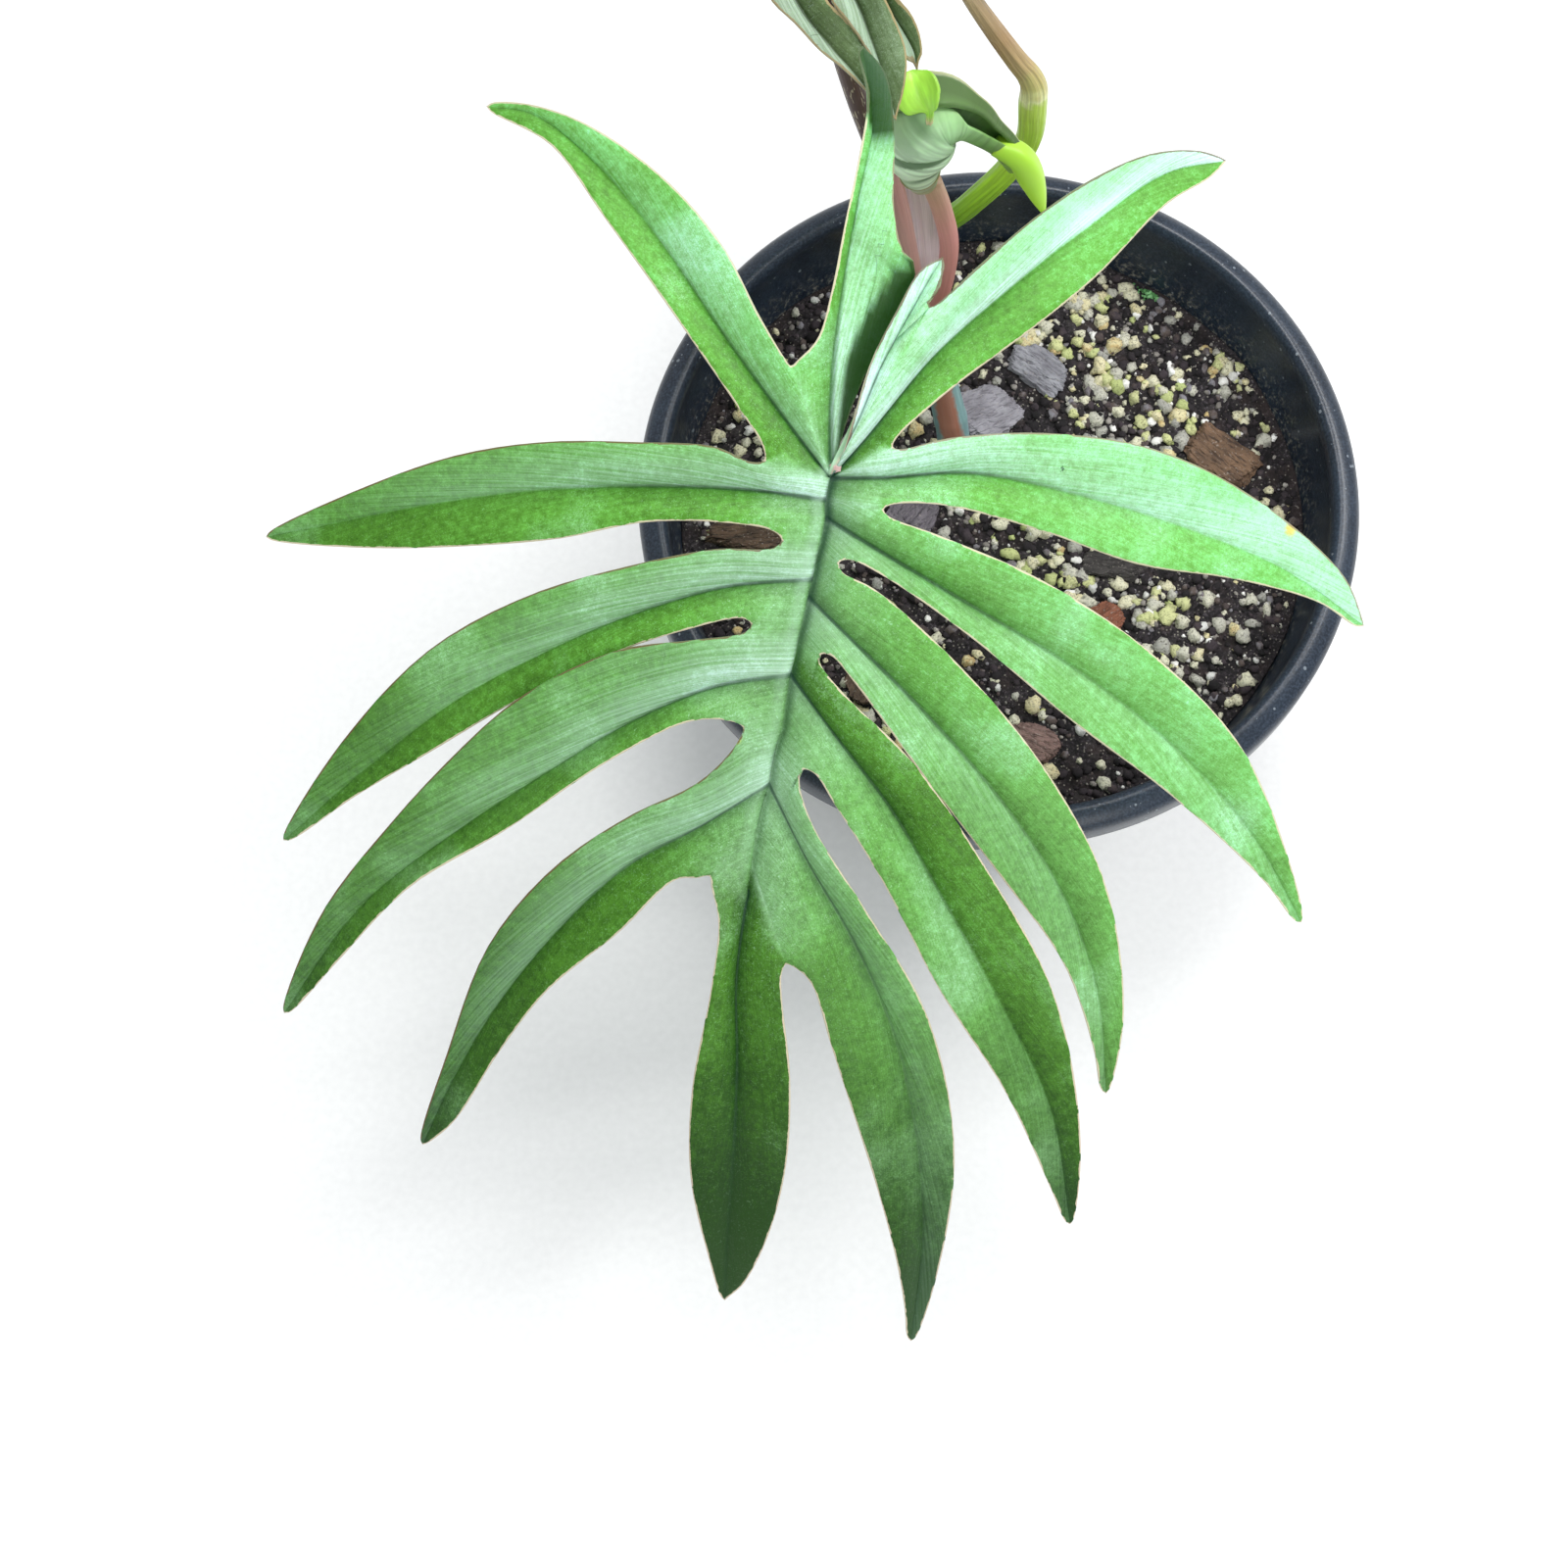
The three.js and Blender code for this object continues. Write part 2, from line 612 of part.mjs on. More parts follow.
function scroll(thick, rings = 15, columns = 11, flapColumns = 2) {
  const patch = patchBuilder();
  const curve = new THREE.CatmullRomCurve3(SCROLL_PATH.map(vector));
  const rows = [];
  for (let i = 0; i <= rings; i += 1) {
    const part = i / rings;
    const tangent = curve.getTangentAt(part);
    const outward = new THREE.Vector3(0.25, 0.75, 0.6);
    outward.addScaledVector(tangent, -outward.dot(tangent)).normalize();
    const side = tangent.clone().cross(outward);
    const crease = 1 + 0.03 * Math.sin(i * 2.4);
    const radius = lerpList(SCROLL_RADII, part) * crease;
    const centre = curve.getPointAt(part);
    const row = [];
    for (let j = 0; j <= columns; j += 1) {
      const reach = j / columns;
      const turn = THREE.MathUtils.degToRad(SCROLL_START + (SCROLL_END - SCROLL_START) * reach);
      const spiral = radius * (0.82 + 0.18 * reach);
      row.push(patch.add(centre.clone()
        .addScaledVector(outward, spiral * Math.cos(turn))
        .addScaledVector(side, spiral * Math.sin(turn))
        .toArray(), 0));
    }
    const edge = THREE.MathUtils.degToRad(SCROLL_END);
    for (let j = 1; j <= flapColumns; j += 1) {
      const off = (lerpList(FLAP_WIDTHS, part) * j) / flapColumns;
      row.push(patch.add(centre.clone()
        .addScaledVector(outward, radius * Math.cos(edge) + off)
        .addScaledVector(side, radius * Math.sin(edge) - off * 0.25)
        .toArray(), 0));
    }
    rows.push(row);
  }
  for (let i = 0; i < rings; i += 1) {
    for (let j = 0; j < rows[i].length - 1; j += 1) {
      patch.face(rows[i][j], rows[i][j + 1], rows[i + 1][j + 1]);
      patch.face(rows[i][j], rows[i + 1][j + 1], rows[i + 1][j]);
    }
  }
  return sheet(patch, thick);
}

const YOUNG_NECK = [[-24.6, 43.6, 232.6], [-25.4, 43.3, 235], [-26.4, 43.3, 239]];
const YOUNG_TIP = [[-9, 44.5, 249], [-3.5, 43, 247], [0.5, 41.5, 240], [4.6, 36.5, 231]];

function youngLeaf(room = 0) {
  const grown = (radii) => radii.map((radius) => radius + room);
  const rolled = solid(scroll(BLADE_THICK + 2 * room));
  const neck = solid(stalk(YOUNG_NECK, grown([2.6, 4.4, 6.2]), 3, 10));
  const tip = solid(stalk(YOUNG_TIP, grown([2.4, 3.4, 3.8, 2.7, 0.5]), 9, 8));
  return rolled.add(neck).add(tip);
}

// Bright tip of the next leaf, folded along its middle.
function newTip() {
  const line = [[-25.5, 42, 262.5], [-26, 40.5, 270.6], [-28, 41.6, 273.5], [-30, 44, 276], [-32, 47, 277]];
  return solid(strap(line, [1.4, 2.4, 10, 10.5, 1.4], [0.9, -0.2, -0.15], 0.16, BLADE_THICK));
}

// Papery sheath beside the young leaf's stalk.
function cataphyll() {
  const line = [[-20.5, 37, 174], [-21.5, 44, 183], [-23, 51, 193], [-24.5, 54, 206], [-27, 56, 220],
    [-29, 57, 230]];
  return solid(strap(line, [4, 7, 9.5, 10.5, 8, 1.2], [0.97, -0.2, 0], -0.1, BLADE_THICK));
}

// Stem and leaf stalks.
const STEM = [[-9, 8, 95], [-10, 13, 119], [-12, 21, 139], [-16, 27, 156], [-20, 31, 173]];
const STEM_RADII = [5.2, 5.4, 4.8, 4.6, 4];
const RED_PETIOLE = [[-20.5, 32.5, 174], [-20.5, 35, 180], [-18, 38, 190], [-17, 42, 205], [-20, 44, 221],
  [-23.2, 44.6, 232.4]];
const RED_RADII = [2.6, 2.6, 2.5, 2.5, 2.6];
const BURGUNDY = [[-21, 31, 163], [-24, 38, 180], [-27, 44, 195], [-32, 53, 216], [-37, 58, 229],
  [-42, 63, 243], [-49, 71, 267], [-55.5, 80, 294]];
const BURGUNDY_RADII = [3, 3, 2.9, 2.7, 2.5];
const MAIN_PETIOLE = [[-19, 29, 165], [-22, 25, 179], [-26, 14, 201], [-32, -4, 225], [-40, -26, 246],
  [-48.6, -44, 256]];
const MAIN_RADII = [3.2, 3, 2.8, 2.6, 2.4];
const AGEING = [[-17, 28, 159], [-19, 38, 169], [-21, 48, 179], [-19, 55, 189], [-11, 57, 200],
  [-1, 60, 212], [2.5, 63, 222], [3.5, 66.5, 236], [0.5, 69, 242], [-15, 74, 265], [-22, 78, 276],
  [-25, 84, 279], [-26, 90, 276]];
const AGEING_RADII = [2.6, 3, 3.1, 3.1, 3.1, 3.2, 3.2, 3.5, 2.7, 2.4, 2, 1.4, 0.6];

// Pot: thin wall, flat base with drain holes, and a lip rolled over and down outside the wall.
function wallRadius(z) {
  return BASE_RADIUS + ((WALL_TOP_RADIUS - BASE_RADIUS) * z) / WALL_HEIGHT;
}

function turned(profile) {
  const geometry = new THREE.LatheGeometry(profile.map(([r, z]) => new THREE.Vector2(r, z)), SECTORS);
  return geometry.rotateX(Math.PI / 2);
}

function pot() {
  const inner = (z) => wallRadius(z) - WALL;
  const top = POT_HEIGHT;
  const profile = [
    [0, 0], [BASE_RADIUS - 1.5, 0], [wallRadius(1.5), 1.5], [wallRadius(70), 70], [wallRadius(138), 138],
    [94.2, top - 4.5], [95.8, top - 2], [97.2, top - 2], [98.2, top - 4], [98.2, top - LIP_HEIGHT],
    [RIM_RADIUS, top - LIP_HEIGHT], [RIM_RADIUS, top - 3.5], [98.8, top - 0.8], [96.6, top],
    [94.2, top - 0.6], [92.4, top - 3.5], [inner(136), 136], [inner(70), 70], [inner(2), 2], [0, 2],
  ];
  let body = solid(turned(profile));
  for (let i = 0; i < DRAIN_HOLES; i += 1) {
    const angle = (2 * Math.PI * (i + 0.5)) / DRAIN_HOLES;
    const hole = new THREE.CylinderGeometry(4.5, 4.5, 10, 12).rotateX(Math.PI / 2);
    hole.translate(50 * Math.cos(angle), 50 * Math.sin(angle), 1);
    body = body.subtract(solid(hole));
  }
  return body;
}

// Soil: a crumbly surface, then straight down inside the wall.
function relief(x, y) {
  const swell = 1.3 * Math.sin(x / 17 + 1) * Math.cos(y / 13);
  const ripple = 0.9 * Math.sin(x / 6.5 + 2) * Math.sin(y / 7.5 + 0.5);
  return SOIL_LEVEL + swell + ripple - 1.5 * Math.hypot(x, y) ** 4 / 88 ** 4;
}

function soilBody() {
  const rings = 7;
  const random = seeded(41);
  const positions = [[0, 0, relief(0, 0)]];
  const ring = (radius, height) => {
    for (let j = 0; j < SECTORS; j += 1) {
      const angle = (2 * Math.PI * j) / SECTORS;
      const x = radius * Math.sin(angle);
      const y = -radius * Math.cos(angle);
      positions.push([x, y, height(x, y)]);
    }
  };
  const edge = wallRadius(SOIL_LEVEL - 1.5) - WALL - FIT;
  for (let i = 1; i < rings; i += 1) {
    ring((edge * i) / rings, (x, y) => relief(x, y) + 1.3 * (random() - 0.5));
  }
  ring(edge, () => SOIL_LEVEL - 1.5);
  ring(wallRadius(70) - WALL - FIT, () => 70);
  ring(wallRadius(2) - WALL - FIT, () => 2 + FIT);
  positions.push([0, 0, 2 + FIT]);
  const faces = [];
  const rows = rings + 2;
  for (let j = 0; j < SECTORS; j += 1) {
    const next = (j + 1) % SECTORS;
    faces.push([0, 1 + j, 1 + next]);
    for (let i = 0; i < rows - 1; i += 1) {
      const a = 1 + i * SECTORS + j;
      const b = 1 + i * SECTORS + next;
      faces.push([a, a + SECTORS, b + SECTORS], [a, b + SECTORS, b]);
    }
    const end = 1 + (rows - 1) * SECTORS;
    faces.push([end + j, positions.length - 1, end + next]);
  }
  return solid(closed(positions, faces));
}

// Perlite and crumbs: small rough grains sunk in the surface and grown together with it.
function grains() {
  const random = seeded(7);
  let all = null;
  for (let i = 0; i < GRAINS; i += 1) {
    const angle = i * 2.39996;
    const reach = 84 * Math.sqrt((i + 0.5) / GRAINS);
    const x = reach * Math.cos(angle) + 4 * (random() - 0.5);
    const y = reach * Math.sin(angle) + 4 * (random() - 0.5);
    const grain = new THREE.IcosahedronGeometry(1.9 + 1.5 * random(), 0);
    grain.scale(1, 0.8 + 0.4 * random(), 0.8);
    grain.rotateZ(6 * random());
    grain.translate(x, y, relief(x, y) + 0.3);
    all = all ? all.add(solid(grain)) : solid(grain);
  }
  return all;
}

// Bark: rough flat lumps lying part sunk in the mix.
const BARK = [
  { name: "bark_grey_left", at: [-1, 33], size: [12, 9, 5], turn: 25, colour: 0x7b7377 },
  { name: "bark_grey_right", at: [14, 47], size: [12, 7, 5], turn: -35, colour: 0x6d686c },
  { name: "bark_plum", at: [-23, 0], size: [11, 8, 6], turn: 50, colour: 0x5b5459 },
  { name: "bark_brown", at: [66, 19], size: [13, 9, 6], turn: -40, colour: 0x5c4738 },
  { name: "bark_dark", at: [34, -14], size: [10, 6, 4.5], turn: 0, colour: 0x3a3634 },
  { name: "bark_red", at: [31, -31], size: [7, 6, 4.5], turn: 30, colour: 0x7a4a37 },
  { name: "bark_pink", at: [10, -68], size: [8, 7, 5], turn: -20, colour: 0x6f5650 },
  { name: "bark_fibrous", at: [-68, -5], size: [14, 6, 5], turn: 5, colour: 0x4e3d34 },
  { name: "bark_under_leaf", at: [-34, -48], size: [11, 8, 5], turn: 65, colour: 0x57463a },
  { name: "bark_front", at: [48, -58], size: [10, 8, 5], turn: 20, colour: 0x5d4c40 },
  { name: "bark_back", at: [-38, 58], size: [12, 8, 5], turn: -15, colour: 0x665a54 },
];

function lump(bark, seed, grow) {
  const random = seeded(100 + seed);
  const merged = bare(new THREE.IcosahedronGeometry(1, 1));
  const position = merged.attributes.position;
  const [x, y] = bark.at;
  const turn = THREE.MathUtils.degToRad(bark.turn);
  for (let i = 0; i < position.count; i += 1) {
    const point = new THREE.Vector3().fromBufferAttribute(position, i);
    point.multiplyScalar(0.86 + 0.22 * random());
    point.z = Math.min(point.z, 0.62);
    const reach = point.length();
    const [long, wide, high] = bark.size;
    point.set(point.x * (long + grow), point.y * (wide + grow), point.z * (high + 2 * grow));
    point.addScaledVector(point.clone().normalize(), grow * (1 - reach));
    point.applyAxisAngle(new THREE.Vector3(0, 0, 1), turn);
    position.setXYZ(i, point.x + x, point.y + y, point.z + relief(x, y));
  }
  return solid(merged);
}

// Assembly
const group = new THREE.Group();
group.name = "potted_philodendron_mayoi";
const planter = new THREE.Group();
const plant = new THREE.Group();
group.add(planter, plant);

// The largest body that a cut leaves.
function largest(body) {
  return body.decompose().sort((one, other) => other.volume() - one.volume())[0];
}

function addPiece(parent, name, body, colour, roughness) {
  const material = new THREE.MeshStandardMaterial({ color: colour, roughness, metalness: 0 });
  const mesh = new THREE.Mesh(shape(largest(body)), material);
  mesh.name = name;
  parent.add(mesh);
}

const round = (points, radii, rings) => solid(stalk(points, radii, rings));
const wider = (radii) => radii.map((radius) => radius + FIT + 0.05);
const cleared = (body, rooms) => rooms.reduce((rest, room) => rest.subtract(room), body);

const stem = round(STEM, STEM_RADII);
const stemRoom = round(STEM, wider(STEM_RADII));
const mainRoom = solid(mainLeaf(BLADE_THICK + 2 * FIT));
const olderRoom = solid(olderLeaf(BLADE_THICK + 2 * FIT));
const youngRoom = youngLeaf(FIT);
const redRoom = round(RED_PETIOLE, wider(RED_RADII));
const burgundyRoom = round(BURGUNDY, wider(BURGUNDY_RADII));
const mainStalkRoom = round(MAIN_PETIOLE, wider(MAIN_RADII));
const ageingRoom = round(AGEING, wider(AGEING_RADII), 30);

const rooms = [stemRoom, mainRoom, olderRoom, youngRoom];
const redPetiole = cleared(round(RED_PETIOLE, RED_RADII), rooms);
rooms.push(redRoom);
const burgundy = cleared(round(BURGUNDY, BURGUNDY_RADII), rooms);
rooms.push(burgundyRoom);
const mainPetiole = cleared(round(MAIN_PETIOLE, MAIN_RADII), rooms);
rooms.push(mainStalkRoom);
const ageing = cleared(round(AGEING, AGEING_RADII, 30), rooms);
rooms.push(ageingRoom);
const sheath = cleared(cataphyll(), rooms);
const brightTip = cleared(newTip(), rooms);

let earth = soilBody().add(grains()).subtract(stemRoom);
BARK.forEach((bark, i) => {
  earth = earth.subtract(lump(bark, i, 0.35));
});

addPiece(planter, "pot", pot(), COLOURS.pot, 0.45);
addPiece(planter, "soil", earth, COLOURS.soil, 0.95);
BARK.forEach((bark, i) => {
  addPiece(planter, bark.name, lump(bark, i, 0).subtract(stemRoom), bark.colour, 0.9);
});
addPiece(plant, "stem", stem, COLOURS.stem, 0.5);
addPiece(plant, "main_petiole", mainPetiole, COLOURS.mainPetiole, 0.5);
addPiece(plant, "main_leaf", solid(mainLeaf(BLADE_THICK)), COLOURS.mainLeaf, 0.5);
addPiece(plant, "older_petiole", burgundy, COLOURS.burgundy, 0.5);
addPiece(plant, "older_leaf", solid(olderLeaf(BLADE_THICK)), COLOURS.olderLeaf, 0.5);
addPiece(plant, "young_petiole", redPetiole, COLOURS.redPetiole, 0.45);
addPiece(plant, "young_leaf", youngLeaf(), COLOURS.youngLeaf, 0.5);
addPiece(plant, "new_tip", brightTip, COLOURS.newTip, 0.5);
addPiece(plant, "ageing_petiole", ageing, COLOURS.ageing, 0.5);
addPiece(plant, "cataphyll", sheath, COLOURS.cataphyll, 0.8);

export default group;
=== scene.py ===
# %% [markdown]
# # A potted philodendron mayoi
# The object is a young climbing aroid in a black nursery pot: one big leaf cut almost to its
# midrib, an older leaf behind it, a leaf that is still unrolling, and a pot of dark mix full of
# perlite and bark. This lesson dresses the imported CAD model. It first loads it, because every
# piece made here has to lie where its CAD node lies.

import math
import random

import bmesh
import bpy
import numpy as np
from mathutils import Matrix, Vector, noise


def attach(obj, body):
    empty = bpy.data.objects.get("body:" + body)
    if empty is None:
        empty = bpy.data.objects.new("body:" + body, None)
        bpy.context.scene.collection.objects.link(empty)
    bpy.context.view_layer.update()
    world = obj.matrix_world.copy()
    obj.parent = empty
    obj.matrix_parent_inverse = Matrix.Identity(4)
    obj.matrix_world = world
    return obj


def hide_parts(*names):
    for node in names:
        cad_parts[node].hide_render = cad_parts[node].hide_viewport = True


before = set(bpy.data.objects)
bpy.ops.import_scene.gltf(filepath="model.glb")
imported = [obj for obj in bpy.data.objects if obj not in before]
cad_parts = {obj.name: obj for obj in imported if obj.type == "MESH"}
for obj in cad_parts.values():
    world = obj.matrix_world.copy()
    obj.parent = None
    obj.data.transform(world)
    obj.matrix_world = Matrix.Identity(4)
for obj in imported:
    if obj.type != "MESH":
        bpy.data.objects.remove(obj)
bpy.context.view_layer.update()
MM = 0.001

# %% [markdown]
# ## Camera and light
# The plant was photographed steeply from above with a phone held over the pot. A phone's main
# camera sees about as much as a 54 mm lens does on a square 36 mm sensor once the picture is cut
# square, and it looks 74 degrees down. The light is plain: two soft panels, at the right and above,
# which add real gloss over the leaf's painted sheen, a weaker one in front, and a bright even surrounding.

# %% Camera
CAMERA_PLACE = (-0.0595, -0.2609, 0.7475)
CAMERA_TILT = 16.3
CAMERA_LENS = 54
bpy.ops.object.camera_add(location=CAMERA_PLACE, rotation=(math.radians(CAMERA_TILT), 0, 0))
camera = bpy.context.object
camera.name = "camera"
camera.data.lens = CAMERA_LENS
camera.data.sensor_width = 36
camera.data.clip_start = 0.02
bpy.context.scene.camera = camera
bpy.context.scene.view_settings.view_transform = "Standard"
print("camera looks down by", 90 - CAMERA_TILT, "degrees")


# %% Soft light
def panel(name, place, target, size, watts):
    """A square area light at a place, aimed at a target."""
    bpy.ops.object.light_add(type="AREA", location=place)
    light = bpy.context.object
    light.name = name
    light.data.shape = "SQUARE"
    light.data.size = size
    light.data.energy = watts
    light.rotation_euler = (Vector(target) - Vector(place)).to_track_quat("-Z", "Y").to_euler()


panel("panel_right", (0.85, 0.5, 1.2), (-0.02, -0.02, 0.2), 0.6, 12)
panel("panel_above", (-0.05, 0.3, 1.6), (0, 0, 0.15), 0.4, 10)
panel("panel_front", (0.2, -1.2, 1.0), (-0.05, -0.05, 0.15), 0.6, 7)
surround = bpy.data.worlds.new("soft_surround")
surround.use_nodes = True
background = surround.node_tree.nodes["Background"]
background.inputs["Color"].default_value = (0.93, 0.96, 1.0, 1)
background.inputs["Strength"].default_value = 0.6
bpy.context.scene.world = surround

# %% [markdown]
# ## Colours and nodes
# A colour is written as the sRGB hex code that a colour picker shows. Blender's sockets expect
# linear numbers, so one function turns the code into them. A small class then adds the shader nodes
# of one material: node adds any node with its settings and links, and the rest are short forms of
# the nodes that come up most, so that each material further on reads as a short list.


# %% Helpers for materials
def colour(code):
    """Linear colour from an sRGB hex code."""
    parts = [int(code[i:i + 2], 16) / 255 for i in (1, 3, 5)]
    return tuple(p / 12.92 if p <= 0.04045 else ((p + 0.055) / 1.055) ** 2.4 for p in parts) + (1.0,)


class Nodes:
    """Adds shader nodes to one material and links them."""

    def __init__(self, tree):
        self.tree = tree

    def feed(self, node, inputs):
        """Sets or links the inputs of a node. Text is a hex colour."""
        for socket, value in inputs.items():
            if isinstance(value, bpy.types.NodeSocket):
                self.tree.links.new(value, node.inputs[socket])
            else:
                node.inputs[socket].default_value = colour(value) if isinstance(value, str) else value

    def node(self, kind, inputs=None, out=0, stops=None, **settings):
        """Adds a node and gives back one of its outputs."""
        node = self.tree.nodes.new("ShaderNode" + kind)
        for key, value in settings.items():
            setattr(node, key, value)
        if stops:
            ramp = node.color_ramp.elements
            while len(ramp) < len(stops):
                ramp.new(0.5)
            for element, (place, code) in zip(ramp, stops):
                element.position = place
                element.color = colour(code)
        self.feed(node, inputs or {})
        return node.outputs[out]

    def point(self, scale=(1, 1, 1), turn=(0, 0, 0)):
        """Place on the piece in millimetres, stretched by a scale."""
        place = self.node("TexCoord", out=3)
        return self.node("Mapping", {"Vector": place, "Scale": [s / MM for s in scale], "Rotation": turn})

    def place(self, x, y, z=0.0):
        """One place from three numbers."""
        return self.node("CombineXYZ", {0: x, 1: y, 2: z})

    def stored(self, name):
        """A number that the mesh keeps on its points."""
        return self.node("Attribute", attribute_name=name, out=2)

    def maths(self, operation, *values):
        """A sum done on values or outputs."""
        return self.node("Math", dict(enumerate(values)), operation=operation)

    def product(self, first, *others):
        """All the values multiplied."""
        for other in others:
            first = self.maths("MULTIPLY", first, other)
        return first

    def spread(self, value, low, high, to_low=0.0, to_high=1.0, kind="LINEAR"):
        """A value taken from one range to another, and held inside it."""
        return self.node("MapRange", {
            "Value": value, "From Min": low, "From Max": high, "To Min": to_low, "To Max": to_high,
        }, interpolation_type=kind)

    def blend(self, part, under, over, kind="MIX"):
        """A colour laid over another by a part from 0 to 1."""
        return self.node("Mix", {0: part, 6: under, 7: over}, data_type="RGBA", blend_type=kind, out=2)

    def ramp(self, value, stops):
        """The colour at a value between places and their colours."""
        return self.node("ValToRGB", {0: value}, stops=stops)

    def layers(self, base, *coats):
        """A colour with others laid over it in turn, each by its share."""
        for share, colour in coats:
            base = self.blend(share, base, colour)
        return base

    def shaded(self, base, light):
        """A colour made darker or brighter by a light around 1."""
        grey = self.node("CombineColor", {0: light, 1: light, 2: light})
        return self.blend(1.0, base, grey, "MULTIPLY")

    def cloud(self, point, scale, detail, roughness=0.5, distortion=0.0):
        """Cloudy noise, with scale in clouds per millimetre."""
        return self.node("TexNoise", {
            "Vector": point, "Scale": scale, "Detail": detail,
            "Roughness": roughness, "Distortion": distortion,
        })

    def bump(self, height, strength, distance):
        """Small relief, whose distance is in metres."""
        return self.node("Bump", {"Strength": strength, "Distance": distance, "Height": height})


def new_material(name, roughness):
    """A material with a principled shader, and what adds nodes to it."""
    made = bpy.data.materials.new(name)
    made.use_nodes = True
    shader = made.node_tree.nodes["Principled BSDF"]
    shader.inputs["Roughness"].default_value = roughness
    return made, Nodes(made.node_tree), shader


def let_light_in(shader, weight, depths):
    """Living tissue takes some light in. depths: how far red, green and blue spread, in metres."""
    shader.inputs["Subsurface Weight"].default_value = weight
    shader.inputs["Subsurface Radius"].default_value = depths
    shader.inputs["Subsurface Scale"].default_value = 1.0

# %% [markdown]
# ## Pieces from rings and sheets
# Leaves and stalks grow along curves, so they are made from curves here. A flowing line through
# a few points gives the way, rings or rows of points are set across it, and faces join them. The
# numbers that a material needs later, such as the distance from a vein, are kept on the points.


# %% Helpers for shapes
FINE_STEPS = 24


def run_along(line):
    """Distance walked along a line at each of its points."""
    return np.concatenate([[0], np.cumsum(np.linalg.norm(np.diff(line, axis=0), axis=1))])


def directions(line):
    """The way that a line heads at each of its points."""
    tangents = np.gradient(line, axis=0)
    return tangents / np.linalg.norm(tangents, axis=1)[:, None]


def flow_line(points, count, first=0):
    """Evenly spaced points on a smooth curve through points, from one of them to the last."""
    points = np.array(points, float)
    padded = np.vstack([2 * points[0] - points[1], points, 2 * points[-1] - points[-2]])
    fine = []
    for i in range(first, len(points) - 1):
        p0, p1, p2, p3 = padded[i:i + 4]
        d0, d1, d2 = (max(np.linalg.norm(b - a) ** 0.5, 1e-4) for a, b in ((p0, p1), (p1, p2), (p2, p3)))
        start = ((p1 - p0) / d0 - (p2 - p0) / (d0 + d1) + (p2 - p1) / d1) * d1
        end = ((p2 - p1) / d1 - (p3 - p1) / (d1 + d2) + (p3 - p2) / d2) * d1
        for f in np.arange(0, 1, 1 / FINE_STEPS):
            square = f * f
            cube = f ** 3
            fine.append(
                (2 * cube - 3 * square + 1) * p1 + (cube - 2 * square + f) * start
                + (3 * square - 2 * cube) * p2 + (cube - square) * end
            )
    fine.append(points[-1])
    fine = np.array(fine)
    run = run_along(fine)
    at = np.linspace(0, run[-1], count + 1)
    return np.stack([np.interp(at, run, fine[:, axis]) for axis in range(fine.shape[1])], axis=1)


def make_piece(name, points, faces, values=None):
    """A smooth mesh object from points in millimetres. values: numbers per point, by name."""
    mesh = bpy.data.meshes.new(name)
    mesh.from_pydata((np.array(points) * MM).tolist(), [], [tuple(int(i) for i in face) for face in faces])
    for key, numbers in (values or {}).items():
        kept = mesh.attributes.new(key, "FLOAT", "POINT")
        kept.data.foreach_set("value", np.array(numbers, np.float32))
    mesh.shade_smooth()
    mesh.update()
    piece = bpy.data.objects.new(name, mesh)
    bpy.context.scene.collection.objects.link(piece)
    return piece


def dress(piece, material, slot, *nodes):
    """Gives a piece its material, hangs it on the root and hides the CAD nodes that it stands for."""
    piece.data.materials.clear()
    piece.data.materials.append(material)
    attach(piece, "root")
    if nodes:
        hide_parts(*nodes)
    print(piece.name, "faces:", len(piece.data.polygons))


def transported_frames(line):
    """Two directions across a line at each of its points, which turn as little as they can."""
    tangents = directions(line)
    side = np.cross(tangents[0], (0, 0, 1) if abs(tangents[0][2]) < 0.9 else (1, 0, 0))
    sides = []
    for tangent in tangents:
        side = side - side.dot(tangent) * tangent
        side = side / np.linalg.norm(side)
        sides.append(side)
    sides = np.array(sides)
    return tangents, sides, np.cross(tangents, sides)


def by_place(numbers, parts):
    """Numbers spread evenly over a length, read smoothly at parts of it, and never under a tenth."""
    largest = max(numbers)
    reach = np.linspace(0, 1, len(numbers))
    smooth = flow_line(np.stack([reach * largest, numbers], axis=1), 200)
    return np.maximum(np.interp(parts, smooth[:, 0] / largest, smooth[:, 1]), 0.1)


def ring_faces(rings, sides):
    """Faces of a closed tube of rings with a point at each end."""
    faces = []
    start = (rings + 1) * sides
    end = start + 1
    for i in range(rings):
        for j in range(sides):
            a = i * sides + j
            b = i * sides + (j + 1) % sides
            faces.append((a, b, b + sides, a + sides))
    for j in range(sides):
        following = (j + 1) % sides
        faces.append((start, following, j))
        faces.append((end, rings * sides + j, rings * sides + following))
    return faces


def stalk_shape(points, radii, rings, sides, relief=None):
    """Points, faces and numbers of a round stalk. relief(turn, part) scales the radius."""
    line = flow_line(points, rings)
    _, one, other = transported_frames(line)
    parts = np.linspace(0, 1, rings + 1)
    turns = np.linspace(0, 2 * math.pi, sides, endpoint=False)
    radius = by_place(radii, parts)[:, None] * np.ones((1, sides))
    if relief:
        radius = radius * relief(turns[None, :], parts[:, None])
    ring = line[:, None] + radius[..., None] * (
        one[:, None] * np.cos(turns)[None, :, None] + other[:, None] * np.sin(turns)[None, :, None]
    )
    run = run_along(line)
    shape = np.vstack([ring.reshape(-1, 3), line[:1], line[-1:]])
    values = {
        "along": np.concatenate([np.repeat(run, sides), [0, run[-1]]]),
        "cos_turn": np.concatenate([np.tile(np.cos(turns), rings + 1), [0, 0]]),
        "sin_turn": np.concatenate([np.tile(np.sin(turns), rings + 1), [0, 0]]),
    }
    return shape, ring_faces(rings, sides), values


